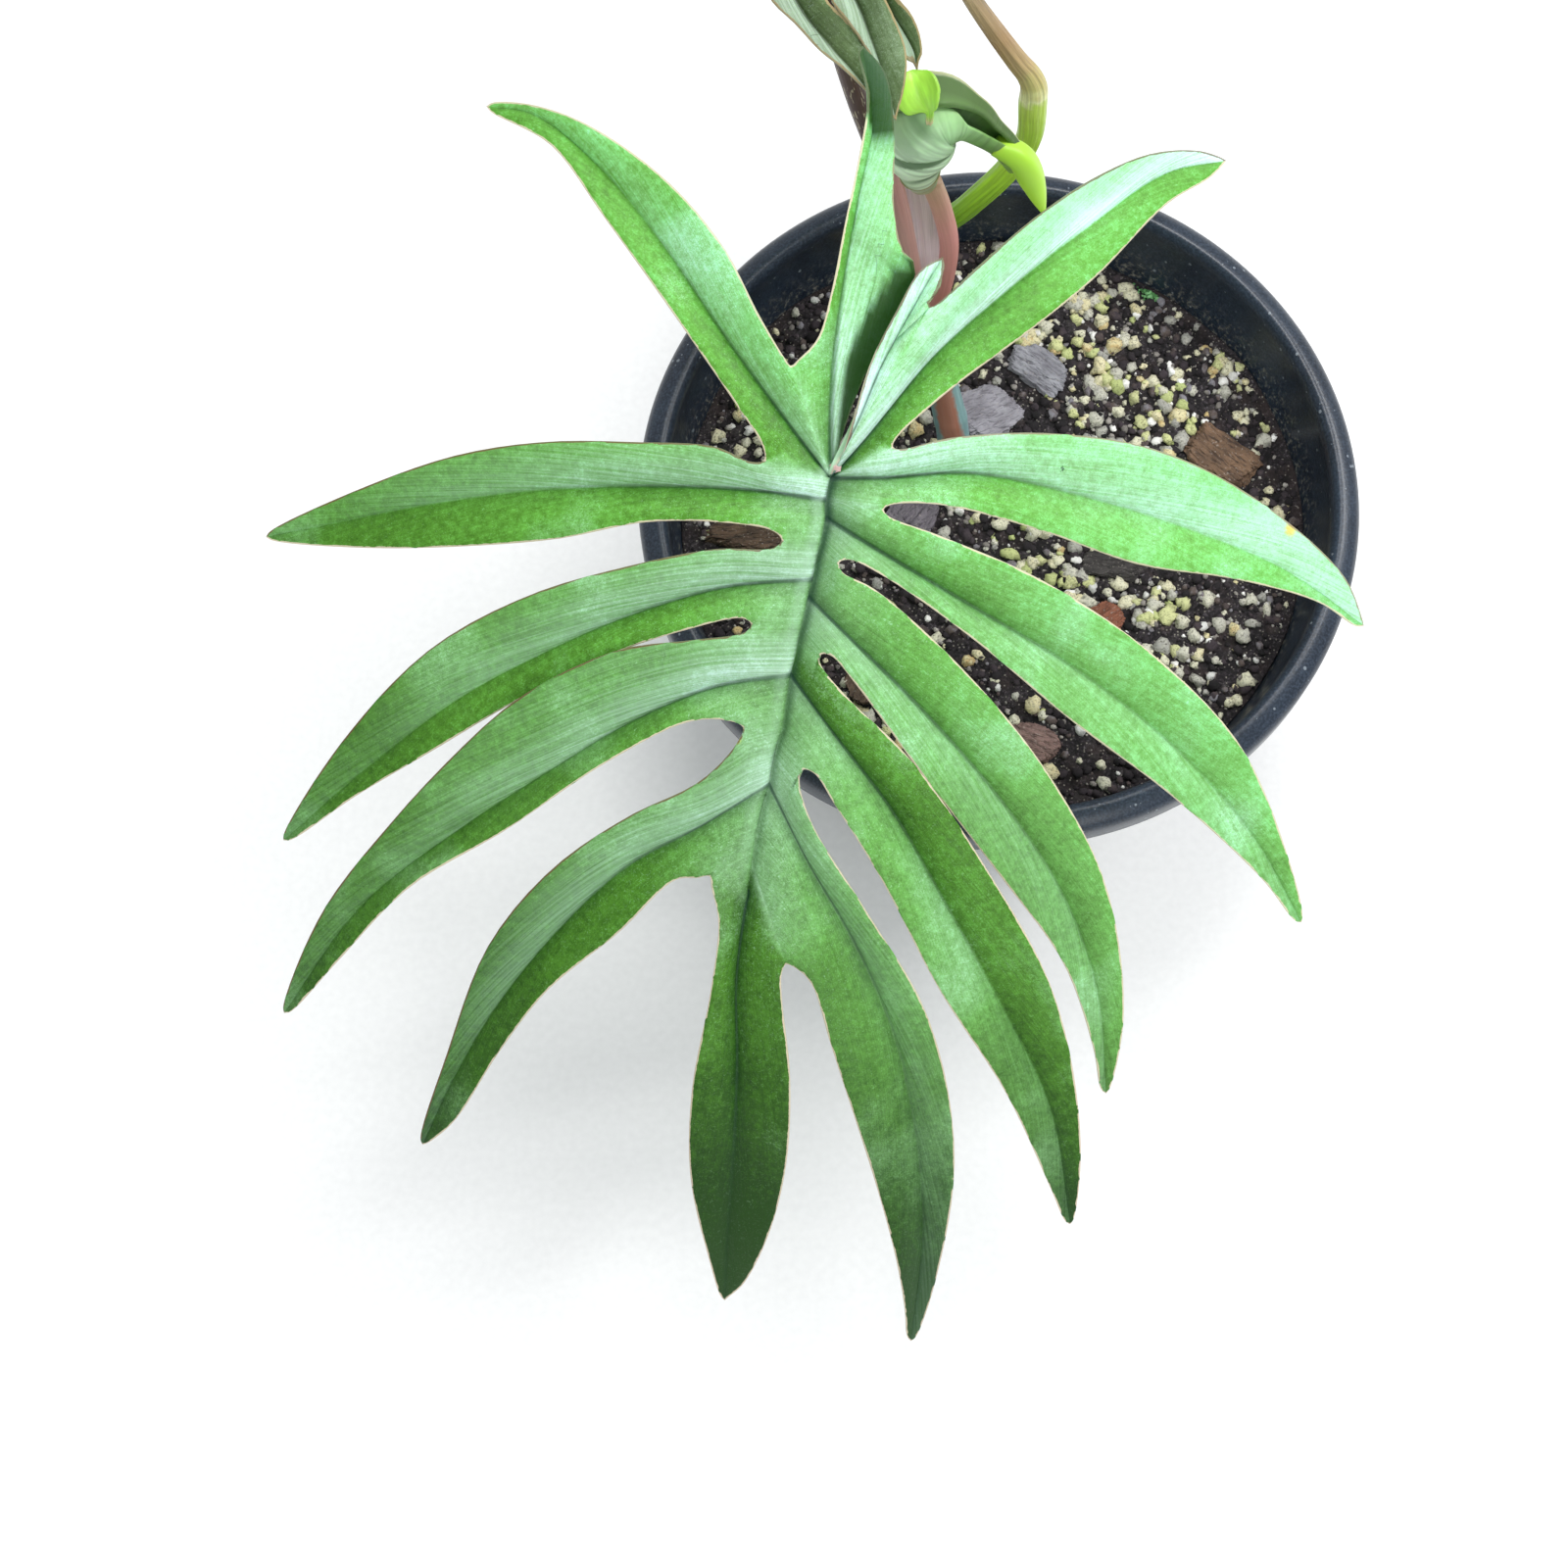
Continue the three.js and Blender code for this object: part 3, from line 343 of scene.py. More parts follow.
# %% [markdown]
# ## The cut leaf
# Each lobe is two half blades that meet at its vein. A half blade is a grid: its rows run from
# the vein out to the edge, and its edge follows the seam with the next lobe as far as the notch
# and then the margin as far as the tip. Because neighbours share vein and seam points, the whole
# blade is one sheet, which then gets a thickness, a groove over each vein and a rib under it.


# %% Leaf maker
# A half blade is highest where its fold sinks in, and the rows near a notch stand at this share of
# the vein. The rest are sizes in millimetres.
TUCK_REACH = 0.55
NOTCH_LEVELS = (0.04, 0.6)
LOWEST_BEND = 0.12
GROOVE_WIDTH = 0.8
GROOVE_DEPTH = 0.3
FINE = 240
MARGIN_FINE = 300
POINT_STORED = ("vein", "edge", "rib_line", "rib_side", "along", "upper", "lobe", "shaded", "reach")
# Points that round to the same of this many steps a millimetre are one point.
WELD_STEPS = 200


def distance_to(points, line):
    """Distance of each point to the nearest point of a line."""
    return np.sqrt(((points[:, None] - line[None]) ** 2).sum(axis=2)).min(axis=1)


def unit(vector):
    """A vector of length one."""
    return vector / np.linalg.norm(vector)


def eased(parts):
    """Parts of a length that stand closer together at both its ends."""
    return parts - 0.8 * np.sin(2 * np.pi * parts) / (2 * np.pi)


class Leaf:
    """Builds one cut leaf from its midrib, lobes and notches."""

    def __init__(self, plan, steps, seam_steps, columns):
        self.plan = plan
        self.steps = steps
        self.seam_steps = seam_steps
        self.columns = columns
        self.known = {}
        self.points = []
        self.faces = []
        self.values = {key: [] for key in POINT_STORED}
        self.midrib_fine = flow_line(plan["midrib"], 160)
        for i, part in enumerate(plan["lobes"]):
            self.add_lobe(i, part)

    def place(self, s, t, height):
        """Place in space of a point in the plane of the blade."""
        plan = self.plan
        return (
            np.array(plan["attach"]) + s[..., None] * plan["right"] + t[..., None] * plan["along"]
            + (height - plan["droop"](s, t))[..., None] * plan["up"]
        )

    def shares(self):
        """How far each row is along the seam, and past the notch."""
        k = np.arange(self.steps + 1)
        seam = np.clip(k / self.seam_steps, 0, 1) ** 1.4
        past = eased(np.clip((k - self.seam_steps) / (self.steps - self.seam_steps), 0, 1))
        return seam, past

    def stations(self, line, level):
        """Points on a line where the rows of a half blade meet it."""
        seam, past = self.shares()
        parts = level * seam + (1 - level) * past
        spread = np.linspace(0, 1, len(line))
        return np.stack([np.interp(parts, spread, line[:, axis]) for axis in (0, 1)], axis=1)

    def midrib_row(self, start, stop):
        """Points of the midrib from one station to another, the first row of a half blade."""
        fine = 4
        count = abs(stop - start) * fine
        midrib = np.array(self.plan["midrib"], float)
        row = []
        for j in range(self.columns + 1):
            at = start + (j * count // self.columns) / fine * np.sign(stop - start)
            row.append([np.interp(at, range(len(midrib)), midrib[:, axis]) for axis in (0, 1)])
        return np.array(row)

    def outer_edge(self, gap, part, side, beside, far_side):
        """The seam as far as the notch, the round end of the notch and the margin to the tip."""
        start = np.array(self.plan["midrib"][gap["seam"]], float)
        sinus = np.array(gap["sinus"], float)
        own = np.array(part[side][0], float)
        far = np.array(beside[far_side][0], float)
        outward = unit(unit(own - sinus) + unit(far - sinus))
        across = own - sinus - outward * outward.dot(own - sinus)
        across = unit(across) if np.linalg.norm(across) > 1e-6 else np.array((-outward[1], outward[0]))
        corner = gap["round"]
        tip = np.array(part["tip"], float)
        tipward = unit(tip - np.array(part["vein"][-1], float))
        last = np.array(part[side][-1], float)
        sideways = last - tip - tipward * tipward.dot(last - tip)
        sideways = unit(sideways) * self.plan["tip_round"]
        chain = [
            sinus + (outward - across) * corner, sinus, sinus + (outward + across) * corner, *part[side],
            tip - tipward * self.plan["tip_round"] * 1.3 + sideways, tip,
        ]
        fine = flow_line(chain, MARGIN_FINE, 1)
        seam, past = self.shares()
        first = start + (sinus - start) * seam[: self.seam_steps, None]
        at = past[self.seam_steps:] * MARGIN_FINE
        margin = np.stack([np.interp(at, range(MARGIN_FINE + 1), fine[:, axis]) for axis in (0, 1)], axis=1)
        return np.vstack([first, margin]), fine

    def add_lobe(self, i, part):
        """Both half blades of a lobe."""
        plan = self.plan
        gaps = plan["gaps"]
        midrib = plan["midrib"]
        line = flow_line([midrib[part["root"]], *part["vein"], part["tip"]], FINE)
        lowest, level = NOTCH_LEVELS
        for gap in [gaps[j] for j in (i - 1, i) if 0 <= j < len(gaps)]:
            reach = np.linalg.norm(line - np.array(gap["sinus"]), axis=1)
            level = min(level, reach.argmin() / FINE)
        bend_at = max(LOWEST_BEND, level)
        level = max(lowest, level)
        vein = self.stations(line, level)
        for side, other in (("a", i - 1), ("b", i + 1)):
            if 0 <= other < len(plan["lobes"]):
                gap = gaps[min(i, other)]
                far_side = "b" if side == "a" else "a"
                outer, margin = self.outer_edge(gap, part, side, plan["lobes"][other], far_side)
                start = self.midrib_row(part["root"], gap["seam"])
                self.half_blade(i, part, side, vein, (level, bend_at), outer, margin, start, False)
            else:
                edge = flow_line([midrib[0], *part[side], part["tip"]], FINE)
                start = self.midrib_row(0, 0)
                outer = self.stations(edge, level)
                self.half_blade(i, part, side, vein, (level, bend_at), outer, edge[4:], start, True)

    def half_blade(self, i, part, side, vein, levels, outer, margin, start, free):
        """The grid between a vein and the outer edge beside it."""
        plan, steps, seam = self.plan, self.steps, self.seam_steps
        seam_share, past = self.shares()
        turn_at = plan["seam_reach"]
        reach = turn_at * seam_share + (1 - turn_at) * past
        level, bend_at = levels
        at = level * seam_share + (1 - level) * past
        vein_reach = np.interp(at, [0, bend_at, 1], [0, turn_at, 1])
        rise = plan["fold"] * np.sin(np.pi * reach ** 0.8)
        wave = plan["wave"] * np.sin(5.2 * np.pi * past + part["phase"]) * np.sin(np.pi * past)
        tuck = np.sin(np.pi * np.minimum(1, reach / TUCK_REACH))
        free_sink = part.get("free_sink", 0) * tuck if free else 0
        vein_height = -part["sink"] * vein_reach ** 1.4
        outer_height = rise + wave - part["sink"] * (reach if free else past) ** 1.4 - free_sink
        outer_height -= part.get("tucked_" + side, 0) * np.sin(np.pi * past) ** 0.7
        outer_height[0] = 0
        # Columns stand closer together near the vein and the margin, where the form turns fastest.
        v = np.linspace(0, 1, self.columns + 1)
        v = 0.5 * v + 0.5 * (1 - np.cos(np.pi * v)) / 2
        flat = vein[:, None] + (outer - vein)[:, None] * v[None, :, None]
        flat[0] = start
        height = vein_height[:, None] + (outer_height - vein_height)[:, None] * (1 - (1 - v) ** 2)[None]
        height[0] = 0
        width = np.linalg.norm(outer - vein, axis=1)
        space = self.place(flat[..., 0], flat[..., 1], height).reshape(-1, 3)
        flat_list = flat.reshape(-1, 2)
        run = run_along(vein)
        shared = np.where(np.arange(steps + 1) < seam, 1.0, 0.0)[:, None] * v[None] ** 3
        # upper keeps how much painted sheen this half carries, and below zero how much painted shade.
        upper = part["sheen"]["ab".index(side)] * (1 - shared) + 0.4 * shared
        midrib = self.midrib_fine
        nearest = np.argmin(((flat_list[:, None] - midrib[None]) ** 2).sum(axis=2), axis=1)
        heading = np.gradient(midrib, axis=0)[nearest]
        offset = flat_list - midrib[nearest]
        turned = heading[:, 0] * offset[:, 1] - heading[:, 1] * offset[:, 0]
        away = np.linalg.norm(offset, axis=1)
        values = {
            "vein": (width[:, None] * v[None]).ravel(),
            "edge": distance_to(flat_list, margin[::2]),
            "rib_line": away,
            "rib_side": -away * np.sign(turned),
            "along": (run[:, None] + 0 * v[None]).ravel(),
            "upper": upper.ravel(),
            "lobe": np.full(len(flat_list), i, float),
            "shaded": plan["shade"](flat_list[:, 0], flat_list[:, 1]) * (i == 0),
            "reach": (reach[:, None] + 0 * v[None]).ravel(),
        }
        ids = []
        for n, point in enumerate(space):
            key = tuple(np.round(point * WELD_STEPS).astype(int))
            if key not in self.known:
                self.known[key] = len(self.points)
                self.points.append(point)
                for name, numbers in values.items():
                    self.values[name].append(numbers[n])
            else:
                kept = self.known[key]
                self.values["upper"][kept] = 0.5 * (self.values["upper"][kept] + values["upper"][n])
                for name in ("vein", "edge", "shaded"):
                    self.values[name][kept] = min(self.values[name][kept], values[name][n])
            ids.append(self.known[key])
        ids = np.array(ids).reshape(steps + 1, -1)
        diagonal = flat[1:, 1:] - flat[:-1, :-1]
        across = flat[:-1, 1:] - flat[1:, :-1]
        area = (diagonal[..., 0] * across[..., 1] - diagonal[..., 1] * across[..., 0]).sum()
        for row in range(steps):
            for column in range(self.columns):
                corners = [*ids[row:row + 2, column], *ids[row:row + 2, column + 1][::-1]]
                if area > 0:
                    corners.reverse()
                kept = [c for n, c in enumerate(corners) if c != corners[n - 1]]
                if len(set(kept)) == len(kept) and len(kept) > 2:
                    self.faces.append(kept)

    def build(self, name, thick):
        """Sheet with an upper and a lower skin, closed at the margin."""
        points = np.array(self.points)
        normals = np.zeros_like(points)
        edges = set()
        for face in self.faces:
            corners = points[face]
            normal = np.cross(corners[1] - corners[0], corners[2] - corners[0])
            for n, corner in enumerate(face):
                normals[corner] += normal
                edges.add((corner, face[(n + 1) % len(face)]))
        normals /= np.maximum(np.linalg.norm(normals, axis=1), 1e-9)[:, None]
        values = {key: np.array(numbers) for key, numbers in self.values.items()}
        side = values["rib_side"]
        fade = np.clip(1 - values["rib_line"] / 9, 0, 1)
        ridge = 0.35 * np.exp(-((side + 2.1) / 1.3) ** 2) - 0.45 * np.exp(-((side - 0.3) / 0.8) ** 2)
        ribs = self.plan["rib"] * (1 - values["reach"]) ** 0.7 * np.exp(-(values["vein"] / 1.3) ** 2)
        ribs = np.maximum(ribs, self.plan["rib"] * np.exp(-(values["rib_line"] / 1.6) ** 2))
        taper = 0.55 + 0.45 * np.clip(values["edge"] / 1.2, 0, 1)
        shallow = np.clip(1.2 - values["along"] / 90, 0.25, 1) * np.clip(values["edge"] / 3, 0, 1)
        groove = GROOVE_DEPTH * shallow * np.exp(-(values["vein"] / GROOVE_WIDTH) ** 2)
        top = points + normals * (thick / 2 * taper - groove + ridge * fade)[:, None]
        under = points - normals * (thick / 2 * taper + ribs)[:, None]
        count = len(points)
        faces = [tuple(face) for face in self.faces]
        faces += [tuple(corner + count for corner in reversed(face)) for face in self.faces]
        for start, end in sorted(edges):
            if (end, start) not in edges:
                faces.append((end, start, start + count, end + count))
        doubled = {key: np.concatenate([numbers, numbers]) for key, numbers in values.items()}
        doubled["under"] = np.concatenate([np.zeros(count), np.ones(count)])
        return make_piece(name, np.vstack([top, under]), faces, doubled)


# %% [markdown]
# ## The main leaf
# The blade hangs from the end of its stalk and leans 26 degrees toward the viewer. The lists
# below are its outline in the plane of the blade, in millimetres from the stalk: first to the
# right, then toward the tip. Only the points that shape the outline are given, and the flowing
# lines do the rest.

# %% Main leaf outline
MAIN_TILT = math.radians(26)
MAIN_MIDRIB = [
    [0, 0], [-1, 5], [-1, 9], [-2, 14], [-3, 18], [-4, 23], [-5, 27], [-6, 32], [-7, 36], [-8, 41],
    [-9, 45], [-10, 52], [-11, 58], [-13, 64], [-14, 71], [-16, 77], [-17, 83], [-18, 90], [-19, 97],
]


def lobe(root, sink, tip, vein, a, b, **more):
    """One lobe: its root on the midrib, how far its tip hangs, and its lines."""
    return {"root": root, "sink": sink, "tip": tip, "vein": vein, "a": a, "b": b, **more}


MAIN_LOBES = [
    lobe(0, 3, [7, -95], [[0, -15], [1, -30], [3, -45], [6, -62], [9, -77]],
         [[4, -13], [9, -25], [15, -36], [19, -47], [16, -50], [14, -59], [14, -76], [12, -89]],
         [[-3, -31], [0, -41], [3, -56], [6, -70], [8, -84]], free_sink=9),
    lobe(0, 8, [-78, -83], [[-10, -13], [-24, -32], [-37, -51], [-52, -69], [-67, -81]],
         [[-16, -36], [-24, -51], [-37, -66], [-54, -78], [-67, -83]],
         [[-21, -16], [-30, -29], [-40, -43], [-51, -58], [-63, -74]]),
    lobe(1, 11, [-134, 15], [[-15, 3], [-37, 2], [-67, 3], [-95, 7], [-119, 12]],
         [[-26, -7], [-44, -8], [-64, -8], [-85, -5], [-109, 3]],
         [[-24, 10], [-42, 10], [-62, 14], [-83, 16], [-110, 17]]),
    lobe(5, 12, [-134, 90], [[-24, 25], [-47, 32], [-65, 40], [-87, 52], [-112, 71]],
         [[-26, 16], [-46, 20], [-69, 27], [-93, 40], [-116, 63]],
         [[-33, 34.6], [-51, 40.8], [-72, 51.6], [-94, 65], [-115, 78]], tucked_b=1.7),
    lobe(10, 11, [-137, 136], [[-26, 48], [-45, 56], [-66, 69], [-88, 84], [-114, 105]],
         [[-31, 36.8], [-47, 38.9], [-62, 45], [-75, 53.2], [-88, 65], [-104, 82], [-124, 107]],
         [[-33, 56], [-52, 66], [-76, 83], [-101, 99], [-121, 120]]),
    lobe(14, 11, [-103, 171], [[-29, 81], [-48, 92], [-66, 110], [-82, 131], [-94, 152]],
         [[-30, 70], [-47, 79], [-66, 93], [-82, 113], [-95, 145]],
         [[-36, 94], [-50, 108], [-68, 124], [-81, 142], [-94, 163]]),
    lobe(18, 12, [-26, 215], [[-22, 120], [-22, 142], [-23, 167], [-25, 194]],
         [[-26, 104], [-28, 122], [-33, 149], [-34, 175], [-30, 200]],
         [[-11, 124], [-9, 146], [-10, 171], [-14, 191], [-21, 209]]),
    lobe(14, 12, [23, 228], [[-5, 90], [6, 110], [16, 134], [22, 161], [25, 191]],
         [[-4, 120], [1, 137], [11, 171], [18, 199], [21, 217]],
         [[-4, 80], [9, 102], [24, 129], [32, 167], [29, 206]]),
    lobe(10, 10, [63, 192], [[1, 59], [15, 78], [29, 103], [43, 129], [56, 157]],
         [[1, 75], [13, 95], [27, 123], [44, 151], [57, 180]],
         [[4, 50], [19, 65], [38, 93], [55, 125], [64, 166]]),
    lobe(6, 9, [70, 154], [[5, 37], [21, 53], [40, 75], [56, 99], [66, 125]],
         [[6, 47], [22, 69], [40, 93], [57, 117], [66, 141]],
         [[10, 25], [30, 43], [50, 67], [66, 96], [73, 131]]),
    lobe(2, 9, [117, 110], [[12, 17], [32, 29], [58, 45], [82, 64], [103, 87]],
         [[12, 22], [32, 36], [56, 56], [81, 75], [106, 98]],
         [[25, 13], [48, 23], [74, 40], [98, 64], [113, 95]]),
    lobe(0, 9, [128, 36], [[12, 0], [32, -1], [57, 4], [83, 12], [107, 22]],
         [[25, 6], [48, 12], [71, 20], [95, 24], [116, 30]],
         [[27, -9], [49, -10], [75, -6], [100, 6], [122, 24]]),
    lobe(0, 6, [90, -71], [[8, -9], [23, -27], [40, -42], [58, -56], [76, -68]],
         [[26, -19], [45, -33], [60, -45], [76, -61], [86, -67]],
         [[33, -47], [46, -58], [60, -67], [72, -72], [83, -73]]),
    lobe(0, 1, [25, -49], [[6, -12], [11, -24], [17, -35]],
         [[24, -42]],
         [[3, -6], [5, -13], [9, -26], [14, -36], [20, -46]]),
]
MAIN_GAPS = [
    (0, [-9, -25], 1.6), (0, [-15, -4], 2.2), (3, [-11, 14], 1.9), (7, [-18, 33], 1.6),
    (12, [-20, 57], 3.2), (16, [-28, 93], 2.0), (17, [-10, 115], 1.9), (12, [-6, 67], 1.9),
    (8, [-2, 40], 1.5), (4, [2, 19], 1.6), (1, [12, 7], 1.2), (0, [14, -7], 1.2), (0, [22, -38], 0.6),
]
# How much painted sheen the two halves of each lobe carry, in the same order; below zero is painted shade.
MAIN_SHEEN = [
    (0.6, -0.05), (0.35, -0.2), (0.85, -0.1), (0.95, 0.0), (1.0, 0.05), (0.85, 0.0), (-0.1, -0.25),
    (0.15, 0.35), (0.15, -0.35), (0.35, 0.0), (0.2, 0.0), (-0.1, 0.6), (-0.55, 1.5), (0.8, 1.2),
]
for number, part in enumerate(MAIN_LOBES):
    part["phase"] = number + 1
    part["sheen"] = MAIN_SHEEN[number]


def main_shade(s, t):
    """Where other parts keep the light off the first lobe: along its neighbour and at its top."""
    border = np.interp(-t, [8, 12, 25, 31, 40, 46.5, 50], [0.8, 1, 2.5, 4.5, 9, 14, 19.2])
    top = -83 + 3 * np.clip(s - 6.5, 0, 3)
    return np.maximum(np.clip((s - border) / 1.2, 0, 1), np.clip((top - t) / 2 + 0.5, 0, 1))


def main_droop(s, t):
    """How far the main leaf sinks away from its joint, in millimetres."""
    return s * s / 1150 + t * t / np.where(t > 0, 1350, 3000)


MAIN_PLAN = {
    "attach": (-49, -45, 256),
    "right": np.array((1.0, 0, 0)),
    "along": np.array((0, -math.cos(MAIN_TILT), -math.sin(MAIN_TILT))),
    "up": np.array((0, -math.sin(MAIN_TILT), math.cos(MAIN_TILT))),
    "droop": main_droop,
    "fold": 2.6,
    "wave": 0.5,
    "rib": 1.1,
    "shade": main_shade,
    "midrib": MAIN_MIDRIB,
    "lobes": MAIN_LOBES,
    "gaps": [{"seam": seam, "sinus": sinus, "round": corner} for seam, sinus, corner in MAIN_GAPS],
    "tip_round": 1.1,
    "seam_reach": 3 / 11,
}
main_leaf = Leaf(MAIN_PLAN, 56, 12, 12).build("main_leaf_blade", 0.8)
print("main leaf points:", len(main_leaf.data.vertices))

# %% [markdown]
# ## The finish of a leaf
# The upper side of a leaf is a waxy skin over green tissue. The lamina shows fine pale streaks
# that leave the vein at a small angle, a speckle of pale cells and a thin dry margin, tan to
# purplish. Light and shade are painted into the colour: the leaves get lighter toward the right and
# the back and darker in front, each vein gets a dark line of painted shade, and the half of each lobe
# that leans to the light gets a painted minty sheen. All of it is mixed from the numbers that the leaf
# maker kept.


# %% Leaf material
STORED = ("vein", "edge", "rib_line", "rib_side", "along", "upper", "under", "lobe", "shaded")
LATERAL_SLANT = 0.14
DEEP_SHADE = "#1a3f06"


def leaf_patterns(add):
    """The numbers kept on the points, with the places and noises that follow the blade."""
    kept = {key: add.stored(key) for key in STORED}
    # Lateral veins leave the main vein at a small angle, so the pattern slides outward along it.
    drift = add.maths("SUBTRACT", kept["vein"], add.maths("MULTIPLY", kept["along"], LATERAL_SLANT))
    flow = add.place(
        add.product(kept["along"], 0.02), add.product(drift, 1.25), add.product(kept["lobe"], 3.7))
    place = add.node("TexCoord", out=3)
    kept["x"] = add.node("SeparateXYZ", {0: place})
    kept["y"] = add.node("SeparateXYZ", {0: place}, out=1)
    kept["point"] = add.point()
    kept["streaks"] = add.cloud(flow, 1.5, 4.0, 0.66)
    kept["broad"] = add.cloud(kept["point"], 0.035, 2.0)
    kept["mottle"] = add.cloud(kept["point"], 0.5, 4.0, 0.7)
    kept["cells"] = add.cloud(kept["point"], 1.7, 3.0, 0.7, 1.5)
    kept["plain_half"] = add.spread(kept["upper"], 0.0, 0.5, 1.0, 0.0)
    return kept


def leaf_light(add, kept, light_line):
    """How lit each place looks, as painted light and shade: 0 in the shade, 1 in full light, with the
    random tone of living tissue mixed in.
    """
    at_origin, along_x, along_y, front_fall = light_line
    # Painted light and shade: lighter toward the right and the back.
    lit = add.maths("MULTIPLY_ADD", kept["y"], along_y, at_origin)
    lit = add.maths("MULTIPLY_ADD", kept["x"], along_x, lit)
    for pattern, reach, amount in (("broad", 0.2, 0.1), ("mottle", 0.2, 0.12), ("cells", 0.15, 0.08)):
        lit = add.maths("ADD", lit, add.spread(kept[pattern], 0.5 - reach, 0.5 + reach, -amount, amount))
    # Painted shade in front.
    front = add.spread(kept["y"], -0.235, -0.155, 1.0, 0.0)
    lit = add.maths("SUBTRACT", lit, add.maths("MULTIPLY", front, front_fall))
    lit = add.maths("ADD", lit, add.spread(kept["streaks"], 0.35, 0.65, -0.05, 0.05))
    # Painted shade on each half whose sheen is below zero.
    lit = add.maths("ADD", lit, add.spread(kept["upper"], -1.0, 0.0, -0.4, 0.0))
    # Painted shade: the half without painted sheen is darkest right beside the vein.
    beside = add.product(add.spread(kept["vein"], 0.0, 7.0, 0.14, 0.0), kept["plain_half"])
    fading = add.spread(kept["along"], 5.0, 110.0, 1.0, 0.4)
    lit = add.maths("SUBTRACT", lit, add.maths("MULTIPLY", beside, fading))
    # Painted shade along the midrib.
    return add.maths("SUBTRACT", lit, add.spread(kept["rib_line"], 0.0, 16.0, 0.1, 0.0))


def leaf_painted_sheen(add, kept, lit):
    """How much painted sheen shows, as a silvery colour. Most lies near vein and root of the half that
    leans to the light.
    """
    near_vein = add.spread(kept["vein"], 0.0, 11.0, 1.0, 0.25)
    at_tip = add.spread(kept["x"], -0.06, 0.05, 0.12, 0.7)
    near_root = add.spread(kept["along"], 20.0, 115.0, 1.0, at_tip)
    streaked = add.spread(kept["streaks"], 0.36, 0.62, 0.4, 1.1)
    painted_sheen = add.product(near_vein, near_root, kept["upper"], streaked)
    # A veil of painted sheen toward the right and near the midrib.
    to_right = add.spread(kept["x"], -0.07, 0.0, 0.0, 0.07)
    veil = add.maths("ADD", to_right, add.spread(kept["rib_line"], 0.0, 26.0, 0.17, 0.0))
    painted_sheen = add.maths("ADD", painted_sheen, add.maths("MULTIPLY", veil, add.spread(lit, 0.1, 0.6)))
    # Patches of painted sheen.
    patches = add.spread(kept["broad"], 0.5, 0.66, 0.0, 0.25)
    sheen = add.product(patches, add.spread(kept["cells"], 0.4, 0.6, 0.4, 1.0))
    return add.maths("ADD", painted_sheen, add.maths("MULTIPLY", sheen, add.spread(lit, 0.1, 0.7, 0.2, 1.0)))


def draw_veins(add, kept, shade, line_part, vein_shade, sheen_colour):
    """Painted shade as a dark line in each vein's groove and on its lower flank, and on the midrib a pale
    ridge of painted highlight, a dark line of painted shade and a painted shadow beside it.
    """
    shade = add.blend(line_part, shade, vein_shade)
    flank = add.product(add.spread(kept["vein"], 0.0, 4.5, 0.38, 0.0), kept["plain_half"])
    flank = add.product(flank, add.spread(kept["along"], 5.0, 90.0, 1.0, 0.2))
    shade = add.blend(flank, shade, vein_shade)
    side = kept["rib_side"]
    fading = add.spread(kept["y"], -0.13, -0.05, 0.2, 1.0)
    # Painted highlight: a pale ridge on one side of the midrib.
    ridge = add.product(add.spread(side, -4.0, -2.4, 0.0, 0.3), add.spread(side, -1.3, -0.5, 1.0, 0.0))
    ridge = add.product(ridge, fading)
    shade = add.blend(ridge, shade, sheen_colour)
    # Painted shade in the groove of the midrib.
    core = add.product(add.spread(side, -0.8, 0.0), add.spread(side, 0.8, 2.4, 1.0, 0.0))
    shade = add.blend(add.product(core, add.maths("MULTIPLY", fading, 0.75)), shade, vein_shade)
    shadow = add.product(add.spread(side, 0.0, 0.6), add.spread(side, 1.0, 9.0, 0.55, 0.0), fading)
    shadow = add.product(shadow, add.spread(kept["mottle"], 0.35, 0.6, 0.5, 1.0))
    return add.blend(shadow, shade, vein_shade)


def draw_spots(add, kept, shade, spots):
    """Small blemishes, each where it shows on the real blade, seen from above in millimetres."""
    seen = add.node("Mapping", {"Vector": kept["point"], "Scale": (1, 1, 0)})
    for x, y, size, spot_colour in spots:
        away = add.node("VectorMath", {0: seen, 1: (x, y, 0)}, operation="DISTANCE", out=1)
        away = add.maths("ADD", away, add.spread(kept["cells"], 0.3, 0.7, -0.4, 0.4))
        shade = add.blend(add.spread(away, size * 0.5, size, 0.8, 0.0), shade, spot_colour)
    return shade


